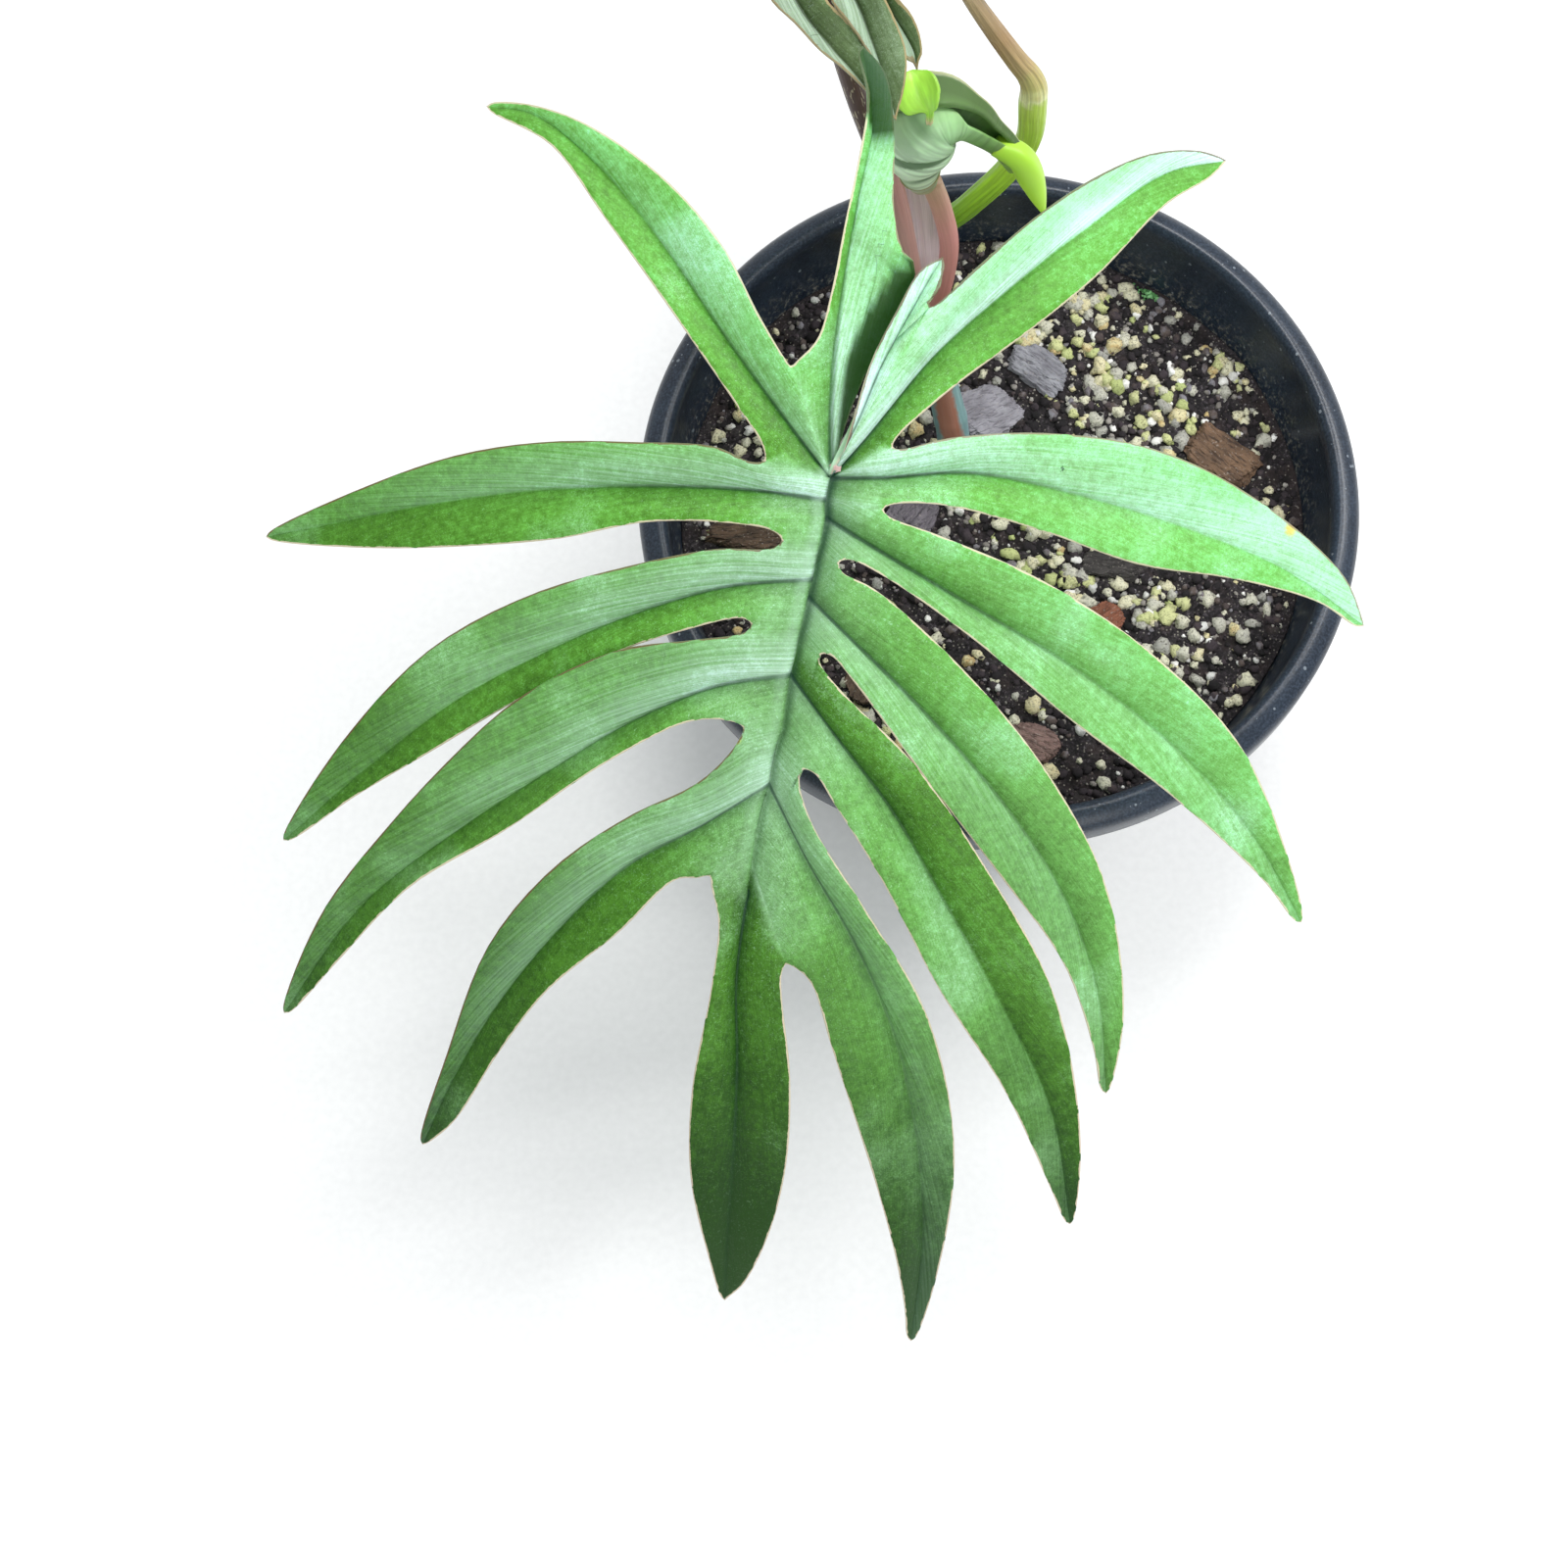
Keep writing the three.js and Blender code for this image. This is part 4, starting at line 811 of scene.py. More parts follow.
def leaf_material(name, tones, sheen_colours, vein_shade, margins, under_shade, light_line, spots=()):
    """Waxy leaf skin with painted light, shade and sheen. tones: colours from the shaded to the lit end.
    sheen_colours, the painted sheen, and margins: dull and bright.

    light_line: how lit the origin is, the growth along x and y per metre, and the fall in front.
    spots: place, size and colour of each blemish.
    """
    made, add, shader = new_material(name, 0.4)
    kept = leaf_patterns(add)
    lit = leaf_light(add, kept, light_line)
    # Painted light and shade from the tones, with painted sheen over them in a colour that brightens where
    # painted lit.
    sheen_colour = add.blend(add.spread(lit, 0.6, 1.0), *sheen_colours)
    shade = add.blend(leaf_painted_sheen(add, kept, lit), add.ramp(lit, tones), sheen_colour)
    # Fine pale cells, most of them close to the midrib.
    near_rib = add.spread(kept["rib_line"], 5.0, 60.0, 1.0, 0.3)
    fleck = add.maths("MULTIPLY", add.spread(kept["cells"], 0.58, 0.72, 0.0, 0.5), near_rib)
    shade = add.blend(fleck, shade, sheen_colour)
    # Painted shade: a dark line in the groove over each vein, fading toward the tip.
    line_part = add.spread(kept["vein"], 0.15, 1.1, 1.0, 0.0, "SMOOTHERSTEP")
    line_part = add.maths("MULTIPLY", line_part, add.spread(kept["along"], 8.0, 80.0, 0.7, 0.12))
    shade = draw_veins(add, kept, shade, line_part, vein_shade, sheen_colour)
    shade = add.blend(add.maths("MULTIPLY", kept["shaded"], 0.94), shade, DEEP_SHADE)
    shade = draw_spots(add, kept, shade, spots)
    # Dry margin a third to half a millimetre wide: dark on the lit side, pale on the other.
    ragged = add.maths("MULTIPLY_ADD", kept["mottle"], 0.5, 0.15)
    margin_part = add.maths("LESS_THAN", kept["edge"], ragged)
    margin_part = add.maths("MULTIPLY", margin_part, add.spread(kept["shaded"], 0.0, 0.6, 0.8, 0.1))
    margin_shade = add.blend(add.spread(kept["upper"], 0.3, 0.7), margins[1], margins[0])
    shade = add.blend(margin_part, shade, margin_shade)
    under_colour = add.blend(line_part, under_shade, sheen_colours[0])
    fine = add.product(kept["mottle"], 0.5)
    relief_height = add.maths("MULTIPLY_ADD", kept["streaks"], 0.9, fine)
    add.feed(shader, {
        "Base Color": add.blend(kept["under"], shade, under_colour),
        "Roughness": add.spread(kept["mottle"], 0.3, 0.7, 0.36, 0.55),
        "Normal": add.bump(relief_height, 0.4, 0.0004),
    })
    shader.inputs["Specular IOR Level"].default_value = 0.22
    let_light_in(shader, 0.1, (0.001, 0.002, 0.0005))
    return made


GREEN_TONES = [
    (0.0, "#1a3f04"), (0.2, "#2b560b"), (0.45, "#467b1f"),
    (0.7, "#62a73e"), (0.88, "#78cb68"), (1.0, "#86dc92"),
]
BLEMISHES = [
    (58.8, -49.7, 1.7, "#d8c24a"), (3.9, -41.9, 0.5, "#23452c"),
    (-70.4, -98.5, 1.3, "#b9c94a"), (-72.2, -100.1, 0.9, "#b9c94a"),
]
green_skin = leaf_material(
    "waxy_leaf_green", GREEN_TONES, ("#a9cfb2", "#dcfcf8"), "#15392a", ("#6a4636", "#d8c6b0"), "#86ab78",
    (0.93, 1.7, 2.2, 0.6), BLEMISHES,
)
dress(main_leaf, green_skin, "leaf_green", "main_leaf")

# %% [markdown]
# ## The older leaf
# Behind stands an older leaf of the same kind, smaller and more olive. Three of its lobes hang
# down beside the young leaf, and the rest point away. Most of it is outside the photograph,
# so its far lobes follow one rule: a heading, a length, a width and a bend.

# %% Older leaf outline
OLDER_ALONG = unit(np.array((-0.1, 0.98, -0.15)))
OLDER_RIGHT = unit(np.array((-0.98, -0.1, 0.0)))
OLDER_MIDRIB = [[0, t] for t in (0, 6, 12, 19, 26, 33, 40, 47)]
BACK_LOBES = [
    lobe(0, 14, [-12, -42], [[3, -10], [5, -19], [2, -27], [-3, -33], [-8, -38]],
         [[5, -6], [11, -16], [9, -25], [1, -33], [-6, -38]],
         [[-2, -22], [-3.4, -28], [-8.8, -31.4], [-11.4, -35], [-12.2, -39]]),
    lobe(0, 16, [-17, -46], [[-5, -13], [-8, -21], [-11, -27], [-13, -33], [-15, -39]],
         [[-3.2, -21.6], [-4.4, -28.6], [-9, -32.6], [-12, -36.4], [-14, -41]],
         [[-12.4, -22.6], [-17, -28.4], [-20, -34], [-20.2, -38], [-19, -42]]),
    lobe(0, 22, [-24, -30], [[-10, -11], [-14, -16], [-17, -21], [-20, -24], [-23, -27]],
         [[-10.6, -19.4], [-12.6, -24.6], [-15.4, -27.8], [-18.6, -29.8], [-21.8, -30.6]],
         [[-15.6, -16.6], [-19, -21.4], [-22.8, -23.6], [-24.8, -25.8], [-25.2, -28]]),
]
BACK_GAPS = [(0, [-2, -15]), (0, [-8, -15]), (0, [-12, -11])]
RULED_LOBES = [
    (0, -86, 64, 17, -5, 22), (2, -58, 78, 18, 6, 21), (4, -30, 80, 18, 7, 20), (7, 3, 72, 20, 0, 23),
    (4, 36, 78, 18, -8, 19), (2, 62, 72, 18, -6, 17), (0, 92, 50, 17, 4, 11),
]
RULED_SEAMS = [0, 3, 5, 5, 3, 0]
NOTCH_REACH = 0.29
LOBE_PROFILE = [(0.45, 0.92), (0.62, 1), (0.78, 0.82), (0.92, 0.4)]


def ruled_lobe(root, angle, length, width, bend, sink):
    """A lobe along a heading in the plane of the blade."""
    x = math.sin(math.radians(angle))
    y = math.cos(math.radians(angle))
    s, t = OLDER_MIDRIB[root]

    def at(reach, side):
        across = side + bend * reach * reach
        return [s + x * length * reach + y * across, t + y * length * reach - x * across]

    return lobe(root, sink, at(1, 0), [at(0.25, 0), at(0.5, 0), at(0.75, 0)],
                [at(reach, -part * width / 2) for reach, part in LOBE_PROFILE],
                [at(reach, part * width / 2) for reach, part in LOBE_PROFILE])


def ruled_gap(i):
    """The notch between two ruled lobes."""
    before, after = RULED_LOBES[i], RULED_LOBES[i + 1]
    angle = math.radians((before[1] + after[1]) / 2)
    reach = NOTCH_REACH * min(before[2], after[2])
    s, t = OLDER_MIDRIB[RULED_SEAMS[i]]
    return RULED_SEAMS[i], [s + math.sin(angle) * reach, t + math.cos(angle) * reach]


older_lobes = BACK_LOBES + [ruled_lobe(*values) for values in RULED_LOBES]
for number, part in enumerate(older_lobes):
    part["phase"] = number if number < len(BACK_LOBES) else number - len(BACK_LOBES)
    part["sheen"] = (0.9, 0.1) if part["tip"][0] < 0 else (0.1, 0.9)
older_gaps = BACK_GAPS + [ruled_gap(i) for i in range(len(RULED_SEAMS))]


def older_droop(s, t):
    """How far the older leaf sinks away from its joint, in millimetres."""
    return (s * s + t * t) / 260


def no_shade(s, t):
    """Nothing shades the older leaf."""
    return 0 * s


OLDER_PLAN = {
    "attach": (-56, 81, 295),
    "right": OLDER_RIGHT,
    "along": OLDER_ALONG,
    "up": np.cross(OLDER_ALONG, OLDER_RIGHT),
    "droop": older_droop,
    "fold": 2,
    "wave": 0.6,
    "rib": 0.9,
    "shade": no_shade,
    "midrib": OLDER_MIDRIB,
    "lobes": older_lobes,
    "gaps": [{"seam": seam, "sinus": sinus, "round": 0.8} for seam, sinus in older_gaps],
    "tip_round": 0.8,
    "seam_reach": 2 / 8,
}
older_leaf = Leaf(OLDER_PLAN, 40, 8, 12).build("older_leaf_blade", 0.8)
olive_skin = leaf_material(
    "waxy_leaf_olive",
    [(0.0, "#2b3a14"), (0.3, "#445a24"), (0.55, "#5c7440"), (0.8, "#86a27a"), (1.0, "#a9c7a6")],
    ("#b4cbb6", "#cfe3d6"), "#2c3a1c", ("#8a7350", "#a8946c"), "#8fa67f", (0.45, 0.8, 0.0, 0.0),
)
dress(older_leaf, olive_skin, "leaf_olive", "older_leaf")

# %% [markdown]
# ## Stem and leaf stalks
# A stalk is a smooth tube that tapers a little, is never quite round, and carries fine lengthwise
# lines. Each follows the route of its CAD node. The ageing stalk is ribbed, swollen at its knee
# and dry beyond it, and the short stem shows an old leaf scar.


# %% Stalk material
def stalk_material(name, stops, line_depth=0.00024, contrast=0.22, spot=None, stripe=None):
    """Smooth plant skin with lengthwise lines. stops: colours along the stalk, by millimetres.

    line_depth: metres. spot: colour of short streaks and where they start. stripe: colour of a band
    down the front.
    """
    made, add, shader = new_material(name, 0.4)
    along = add.stored("along")
    cos_turn = add.stored("cos_turn")
    sin_turn = add.stored("sin_turn")
    flow = add.place(add.product(cos_turn, 4.0), add.product(sin_turn, 4.0), add.product(along, 0.05))
    lines = add.cloud(flow, 1.4, 3.0, 0.6)
    mottle = add.cloud(add.point(), 0.35, 3.0)
    length = stops[-1][0]
    part = add.maths("DIVIDE", along, length)
    part = add.maths("ADD", part, add.spread(mottle, 0.0, 1.0, -0.02, 0.02))
    base = add.ramp(part, [(place / length, code) for place, code in stops])
    lined = add.shaded(base, add.spread(lines, 0.3, 0.7, 1 - contrast, 1 + contrast * 0.6))
    if spot:
        spot_colour, first = spot
        flow = add.place(add.product(cos_turn, 5.0), add.product(sin_turn, 5.0), add.product(along, 0.35))
        dots = add.spread(add.cloud(flow, 1.1, 1.0), 0.6, 0.66, 0.0, 0.8)
        dots = add.product(dots, add.maths("GREATER_THAN", along, first))
        lined = add.blend(dots, lined, spot_colour)
    if stripe:
        wobble = add.maths("MULTIPLY_ADD", mottle, 0.5, add.product(cos_turn, -1.0))
        lined = add.blend(add.spread(wobble, 0.95, 1.1, 0.0, 0.8), lined, stripe)
    bump = add.bump(add.maths("ADD", lines, mottle), 0.5, line_depth)
    add.feed(shader, {"Base Color": lined, "Normal": bump})
    let_light_in(shader, 0.1, (0.001, 0.001, 0.0005))
    return made


def add_stalk(name, node, slot, points, radii, material, relief, rings=70, sides=28):
    """A stalk in place of its CAD node."""
    shape, faces, values = stalk_shape(points, radii, rings, sides, relief)
    dress(make_piece(name, shape, faces, values), material, slot, node)


# The stalks: a route through space and evenly spread radii, in millimetres, then colours by length.
STEM = [[-9, 8, 95], [-10, 13, 119], [-12, 21, 139], [-16, 27, 156], [-20, 31, 173]]
STEM_RADII = [5.2, 5.4, 4.8, 4.6, 4]
STEM_COLOURS = [(0, "#6d8684"), (50, "#86aaac"), (85, "#94b8b4")]
RED = [
    [-20.5, 32.5, 174], [-20.5, 35, 180], [-18, 38, 190], [-17, 42, 205], [-20, 44, 221],
    [-23.2, 44.6, 232.4],
]
RED_RADII = [2.6, 2.6, 2.5, 2.5, 2.6]
RED_COLOURS = [(0, "#80503f"), (15, "#b4746a"), (40, "#cf9089"), (62, "#b8967a")]
BURGUNDY = [
    [-21, 31, 163], [-24, 38, 180], [-27, 44, 195], [-32, 53, 216], [-37, 58, 229], [-42, 63, 243],
    [-49, 71, 267], [-55.5, 80, 294],
]
BURGUNDY_RADII = [3, 3, 2.9, 2.7, 2.5]
BURGUNDY_COLOURS = [(0, "#7a5145"), (35, "#b48c82"), (60, "#a87c74"), (74, "#4a332e"), (150, "#4f3a32")]
GREEN = [
    [-19, 29, 165], [-22, 25, 179], [-26, 14, 201], [-32, -4, 225], [-40, -26, 246], [-48.6, -44, 256],
]
GREEN_RADII = [3.2, 3, 2.8, 2.6, 2.4]
GREEN_COLOURS = [(0, "#4d6b55"), (40, "#5c8060"), (110, "#86a07f"), (122, "#c0a09a")]
AGEING = [
    [-17, 28, 159], [-19, 38, 169], [-21, 48, 179], [-19, 55, 189], [-11, 57, 200], [-2, 60.3, 212],
    [2.4, 63, 222], [2.4, 66, 233], [2.2, 67.6, 238], [0.6, 68.9, 241.4], [-2.8, 70, 246], [-15, 74, 265],
    [-22, 78, 276], [-25, 84, 279], [-26, 90, 276],
]
AGEING_RADII = [2.6, 3, 3.1, 3.1, 3.1, 3.2, 3.2, 3.5, 2.7, 2.4, 2, 1.4, 0.6]
AGEING_COLOURS = [
    (0, "#47740f"), (50, "#6fa31a"), (66, "#8fbf22"), (86, "#a4c93a"), (94, "#b4cf4e"), (96, "#dde0a4"),
    (99, "#bdb673"), (106, "#b29a6c"), (116, "#a5875f"), (135, "#b09a78"), (165, "#7d6248"),
]


def soft_oval(turn, part):
    """A slightly flattened section that wanders."""
    return 1 + 0.04 * np.cos(2 * turn + 3 * part) + 0.02 * np.cos(3 * turn - 5 * part)


def ribbed(turn, part):
    """Lengthwise ribs, which fade toward the dry end."""
    ribs = np.cos(9 * turn + 0.6 * np.sin(6 * part)) * (1 - 0.4 * part)
    return 1 + 0.035 * ribs + 0.02 * np.cos(2 * turn)


def scarred(turn, part):
    """The ring of an old leaf scar two thirds up the stem."""
    ring = np.exp(-((part - 0.62) / 0.02) ** 2)
    return 1 + 0.03 * np.cos(2 * turn) + 0.06 * ring * (1 + 0.4 * np.cos(turn))


stem_finish = stalk_material("stem_skin_bluegreen", STEM_COLOURS, stripe="#b0603f")
red_finish = stalk_material("stalk_skin_red", RED_COLOURS, contrast=0.1)
burgundy_finish = stalk_material(
    "stalk_skin_burgundy", BURGUNDY_COLOURS, contrast=0.12, spot=("#b3a78c", 76))
green_finish = stalk_material("stalk_skin_green", GREEN_COLOURS)
ageing_finish = stalk_material("stalk_skin_ageing", AGEING_COLOURS, line_depth=0.0006, contrast=0.3)

add_stalk("stem_skin", "stem", "stem", STEM, STEM_RADII, stem_finish, scarred)
add_stalk("young_leaf_stalk", "young_petiole", "petiole_red", RED, RED_RADII, red_finish, soft_oval)
add_stalk("older_leaf_stalk", "older_petiole", "petiole_burgundy", BURGUNDY, BURGUNDY_RADII,
          burgundy_finish, soft_oval)
add_stalk("main_leaf_stalk", "main_petiole", "petiole_green", GREEN, GREEN_RADII, green_finish, soft_oval)
add_stalk("ageing_leaf_stalk", "ageing_petiole", "petiole_ageing", AGEING, AGEING_RADII,
          ageing_finish, ribbed, rings=150, sides=54)

# %% [markdown]
# ## The young leaf
# A new leaf unrolls from a tight scroll. It is made as a sheet wound around a curved path, wide
# where it has opened and tight toward its drooping point. The free edge stands off as a flap.


# %% Sheets wound or folded along a path
def thick_sheet(grid, thick):
    """Points and faces of a sheet of even thickness from a grid of points."""
    rows, columns, _ = grid.shape
    normals = np.cross(np.gradient(grid, axis=0), np.gradient(grid, axis=1))
    normals /= np.maximum(np.linalg.norm(normals, axis=2), 1e-9)[..., None]
    upper = grid + normals * thick / 2
    lower = grid - normals * thick / 2
    count = rows * columns
    faces = []
    for i in range(rows - 1):
        for j in range(columns - 1):
            a = i * columns + j
            quad = (a, a + columns, a + columns + 1, a + 1)
            faces.append(quad)
            faces.append(tuple(corner + count for corner in reversed(quad)))
    ids = np.arange(count).reshape(rows, columns)
    border = [*ids[0], *ids[1:, -1], *ids[-1, -2::-1], *ids[-2:0:-1, 0]]
    for n, start in enumerate(border):
        end = border[(n + 1) % len(border)]
        faces.append((start, end, end + count, start + count))
    return np.vstack([upper.reshape(-1, 3), lower.reshape(-1, 3)]), faces


# The path of the scroll in millimetres, and what changes evenly along it: radius, how far the flap
# stands off, and where around the path the sheet starts, in degrees.
SCROLL_PATH = [
    [-25.5, 43, 235], [-27, 43, 241], [-27.5, 44, 248], [-26, 45, 255], [-22.5, 46.5, 258],
    [-17, 47, 257], [-12, 46, 253], [-7, 45, 248], [-3, 43, 243],
]
SCROLL_RADII = [3.6, 5.4, 8.2, 9, 8, 5.8, 4, 3.2, 2.8]
FLAP_WIDTHS = [0.8, 3, 8.5, 11.5, 8, 3.2, 2.2, 1.8, 1]
SCROLL_STARTS = [50, 48, 45, 44, 60, 104, 98, 88, 84]
SCROLL_END = math.radians(425)
FLAP_SIDE = np.array((0.25, 0.75, 0.6))
CREASE_DEPTH = 0.045
WINDING_IN = 0.18
YOUNG_NECK = [[-24.6, 43.6, 232.6], [-25.4, 43.3, 235], [-26.4, 43.3, 239]]
YOUNG_TIP = [[-9, 44.5, 249], [-3.5, 43, 247], [0.5, 41.5, 240], [4.6, 36.5, 231]]


def scroll_grid(rings, turns, flap_steps):
    """The wound sheet: the scroll with creases across it, then its flap."""
    line = flow_line(SCROLL_PATH, rings)
    tangents = directions(line)
    parts = np.linspace(0, 1, rings + 1)
    outward = FLAP_SIDE - tangents * (tangents @ FLAP_SIDE)[:, None]
    outward /= np.linalg.norm(outward, axis=1)[:, None]
    side = np.cross(tangents, outward)
    reach = np.linspace(0, 1, turns + 1)
    start = np.radians(by_place(SCROLL_STARTS, parts))[:, None]
    turn = start + (SCROLL_END - start) * reach[None]
    folds = np.sin(parts[:, None] * 34 + 2.2 * np.sin(turn)) * np.exp(-((parts[:, None] - 0.3) / 0.22) ** 2)
    folds = np.maximum(folds, -1) - 0.6 * np.maximum(-folds, 0) ** 6
    radius = by_place(SCROLL_RADII, parts)[:, None] * (1 + CREASE_DEPTH * folds)
    spiral = radius * (1 - WINDING_IN + WINDING_IN * reach)[None]
    body = line[:, None] + outward[:, None] * (spiral * np.cos(turn))[..., None]
    body = body + side[:, None] * (spiral * np.sin(turn))[..., None]
    off = by_place(FLAP_WIDTHS, parts)[:, None] * (np.arange(1, flap_steps + 1) / flap_steps)[None]
    last = radius[:, -1:]
    flap = line[:, None] + outward[:, None] * (last * math.cos(SCROLL_END) + off)[..., None]
    flap = flap + side[:, None] * (last * math.sin(SCROLL_END) - off * 0.25)[..., None]
    grooves = np.clip(-folds / 1.6, 0, 1) ** 2
    grooves = np.concatenate([grooves, np.zeros((rings + 1, flap_steps))], axis=1)
    return np.concatenate([body, flap], axis=1), parts, grooves


def joined_piece(name, shapes, key_values):
    """Several shapes as one piece, with the same named numbers on all of them."""
    points = []
    faces = []
    values = {key: [] for key in key_values}
    for shape, shape_faces, shape_values in shapes:
        offset = sum(len(p) for p in points)
        points.append(shape)
        faces += [tuple(corner + offset for corner in face) for face in shape_faces]
        for key in key_values:
            values[key].append(np.broadcast_to(shape_values[key], len(shape)))
    return make_piece(name, np.vstack(points), faces, {key: np.concatenate(v) for key, v in values.items()})


SCROLL_RINGS = 72
SCROLL_COLUMNS = 44
FLAP_COLUMNS = 6
grid, parts, grooves = scroll_grid(SCROLL_RINGS, SCROLL_COLUMNS, FLAP_COLUMNS)
scroll_points, scroll_faces = thick_sheet(grid, 0.8)
columns = grid.shape[1]
wound = np.linspace(0, 1, columns)
scroll_values = {
    "part": np.tile(np.repeat(parts, columns), 2),
    "wound": np.tile(wound, 2 * (SCROLL_RINGS + 1)),
    "kind": 0.0,
    "groove": np.tile(grooves.ravel(), 2),
}


def drooping_tip(turn, part):
    """The section of the soft point: an uneven oval that turns round toward its end."""
    return 1 + 0.12 * np.cos(2 * turn + 0.6) + 0.05 * np.cos(5 * turn) * (1 - part)


neck_points, neck_faces, _ = stalk_shape(YOUNG_NECK, [2.6, 3.6, 5.2], 12, 30)
tip_points, tip_faces, _ = stalk_shape(
    YOUNG_TIP, [2.4, 3.4, 3.8, 2.7, 0.5], 40, 30, drooping_tip)
young_leaf = joined_piece("young_leaf_scroll", [
    (scroll_points, scroll_faces, scroll_values),
    (neck_points, neck_faces, {"part": 0.0, "wound": 0.5, "kind": 0.5, "groove": 0.0}),
    (tip_points, tip_faces, {"part": 1.0, "wound": 0.5, "kind": 1.0, "groove": 0.0}),
], ("part", "wound", "kind", "groove"))


# %% Young leaf material
# Colours along the scroll, from its neck to its end.
YOUNG_TONES = [
    (0.0, "#a88f70"), (0.1, "#d6e8c8"), (0.35, "#cdebc6"), (0.5, "#a8d6a0"), (0.75, "#5f8f42"),
    (1.0, "#7a9c3a"),
]


def young_material():
    """Soft new tissue: mint at the body, painted shade in dark olive on the flap and in the creases, lime
    at the point, tan at the neck.
    """
    made, add, shader = new_material("soft_young_leaf", 0.45)
    part = add.stored("part")
    wound_part = add.stored("wound")
    kind = add.stored("kind")
    mottle = add.cloud(add.point(), 0.45, 4.0, 0.6)
    flow = add.place(add.product(part, 26.0), add.product(wound_part, 2.5))
    bands = add.cloud(flow, 1.0, 2.0, 0.5, 0.6)
    body = add.ramp(add.maths("ADD", part, add.spread(mottle, 0.0, 1.0, -0.05, 0.05)), YOUNG_TONES)
    body = add.shaded(body, add.spread(bands, 0.4, 0.6, 0.66, 1.14))
    backward = add.node("SeparateXYZ", {0: add.point()}, out=1)
    body = add.layers(
        body,
        (add.spread(wound_part, 0.45, 0.8, 0.0, 0.75), "#6f9f52"),
        (add.spread(backward, 37, 45, 0.0, 0.65), "#7da35c"),
        # Painted shade in the creases.
        (add.spread(add.stored("groove"), 0.02, 0.25, 0.0, 0.9), "#4f7048"),
        # Painted shade in dark olive on the flap.
        (add.spread(wound_part, 0.82, 0.93, 0.0, 0.85), "#42592b"),
        (add.spread(wound_part, 0.985, 0.995, 0.0, 0.8), "#b4b48e"),
        (add.spread(kind, 0.7, 0.9), "#a6d63a"),
    )
    bump = add.bump(bands, 0.5, 0.0006)
    add.feed(shader, {"Base Color": body, "Normal": bump})
    let_light_in(shader, 0.2, (0.001, 0.002, 0.0005))
    return made


dress(young_leaf, young_material(), "leaf_young", "young_leaf")

# %% [markdown]
# ## The newest tip and the sheath
# The newest leaf shows as a bright folded cap beside the scroll, on a short stalk. The sheath that
# wrapped the young stalk has dried to a pale papery strip. Both are narrow sheets across a path.


# %% Strips along a path
def strip_grid(points, widths, across, cup, rings, columns, ripple=0.0):
    """A strip of varying width, cupped across."""
    line = flow_line(points, rings)
    tangents = directions(line)
    across = np.array(across, float)
    side = across - tangents * (tangents @ across)[:, None]
    side /= np.linalg.norm(side, axis=1)[:, None]
    normal = np.cross(side, tangents)
    parts = np.linspace(0, 1, rings + 1)
    width = by_place(widths, parts)
    v = np.linspace(-1, 1, columns + 1)
    grid = line[:, None] + side[:, None] * (width[:, None] * v / 2)[..., None]
    lift = cup * width[:, None] * np.abs(v[None]) ** 1.4
    lift = lift + ripple * np.sin(14 * parts)[:, None] * v[None]
    return grid + normal[:, None] * lift[..., None], parts, v


def strip_piece(name, grid, parts, v, thick):
    """The strip as a closed sheet that knows its length and its middle."""
    points, faces = thick_sheet(grid, thick)
    values = {
        "part": np.tile(np.repeat(parts, len(v)), 2),
        "side": np.tile(np.tile(v, len(parts)), 2),
    }
    return make_piece(name, points, faces, values)


TIP_LINE = [
    [-25.5, 42, 262.5], [-26.2, 40.6, 270.8], [-28.2, 41.8, 273.8], [-29.8, 44.2, 276.2],
    [-30.8, 46.6, 277],
]
TIP_WIDTHS = [1.4, 1.4, 1.4, 1.5, 1.9, 5.4, 9.1, 10.3, 10, 7.6, 1.2]
SHEATH_LINE = [
    [-20.5, 37, 174], [-21.5, 44, 183], [-23, 51, 193], [-24.5, 54, 206], [-27, 56, 220], [-29, 57, 230],
]
SHEATH_WIDTHS = [4, 7, 9.5, 10.5, 8, 1.2]
tip_strip = strip_grid(TIP_LINE, TIP_WIDTHS, (0.9, -0.2, -0.15), 0.2, 60, 24)
newest_tip = strip_piece("newest_leaf_tip", *tip_strip, 0.9)
sheath_strip = strip_grid(SHEATH_LINE, SHEATH_WIDTHS, (0.97, -0.2, 0), -0.1, 60, 18, 0.12)
sheath = strip_piece("papery_sheath", *sheath_strip, 0.7)


def strip_material(name, middle, edge_shade, root, streak_scale, roughness, subsurface):
    """A thin plant strip with lengthwise streaks, and painted shade along its fold line and toward its
    edges.
    """
    made, add, shader = new_material(name, roughness)
    part = add.stored("part")
    side = add.stored("side")
    streaks = add.cloud(add.place(add.product(part, 1.6), add.product(side, streak_scale)), 2.0, 3.0)
    outward = add.maths("ABSOLUTE", side)
    # Painted shade toward the edges.
    shade = add.blend(add.spread(outward, 0.35, 1.0, 0.0, 0.7), middle, edge_shade)
    shade = add.blend(add.spread(part, 0.08, 0.32, 1.0, 0.0), shade, root)
    shade = add.shaded(shade, add.spread(streaks, 0.3, 0.7, 0.82, 1.12))
    # Painted shade in the fold down the middle.
    shade = add.blend(add.spread(outward, 0.0, 0.12, 0.35, 0.0), shade, edge_shade)
    bump = add.bump(streaks, 0.5, 0.0003)
    add.feed(shader, {"Base Color": shade, "Normal": bump})
    let_light_in(shader, subsurface, (0.001, 0.002, 0.0006))
    return made


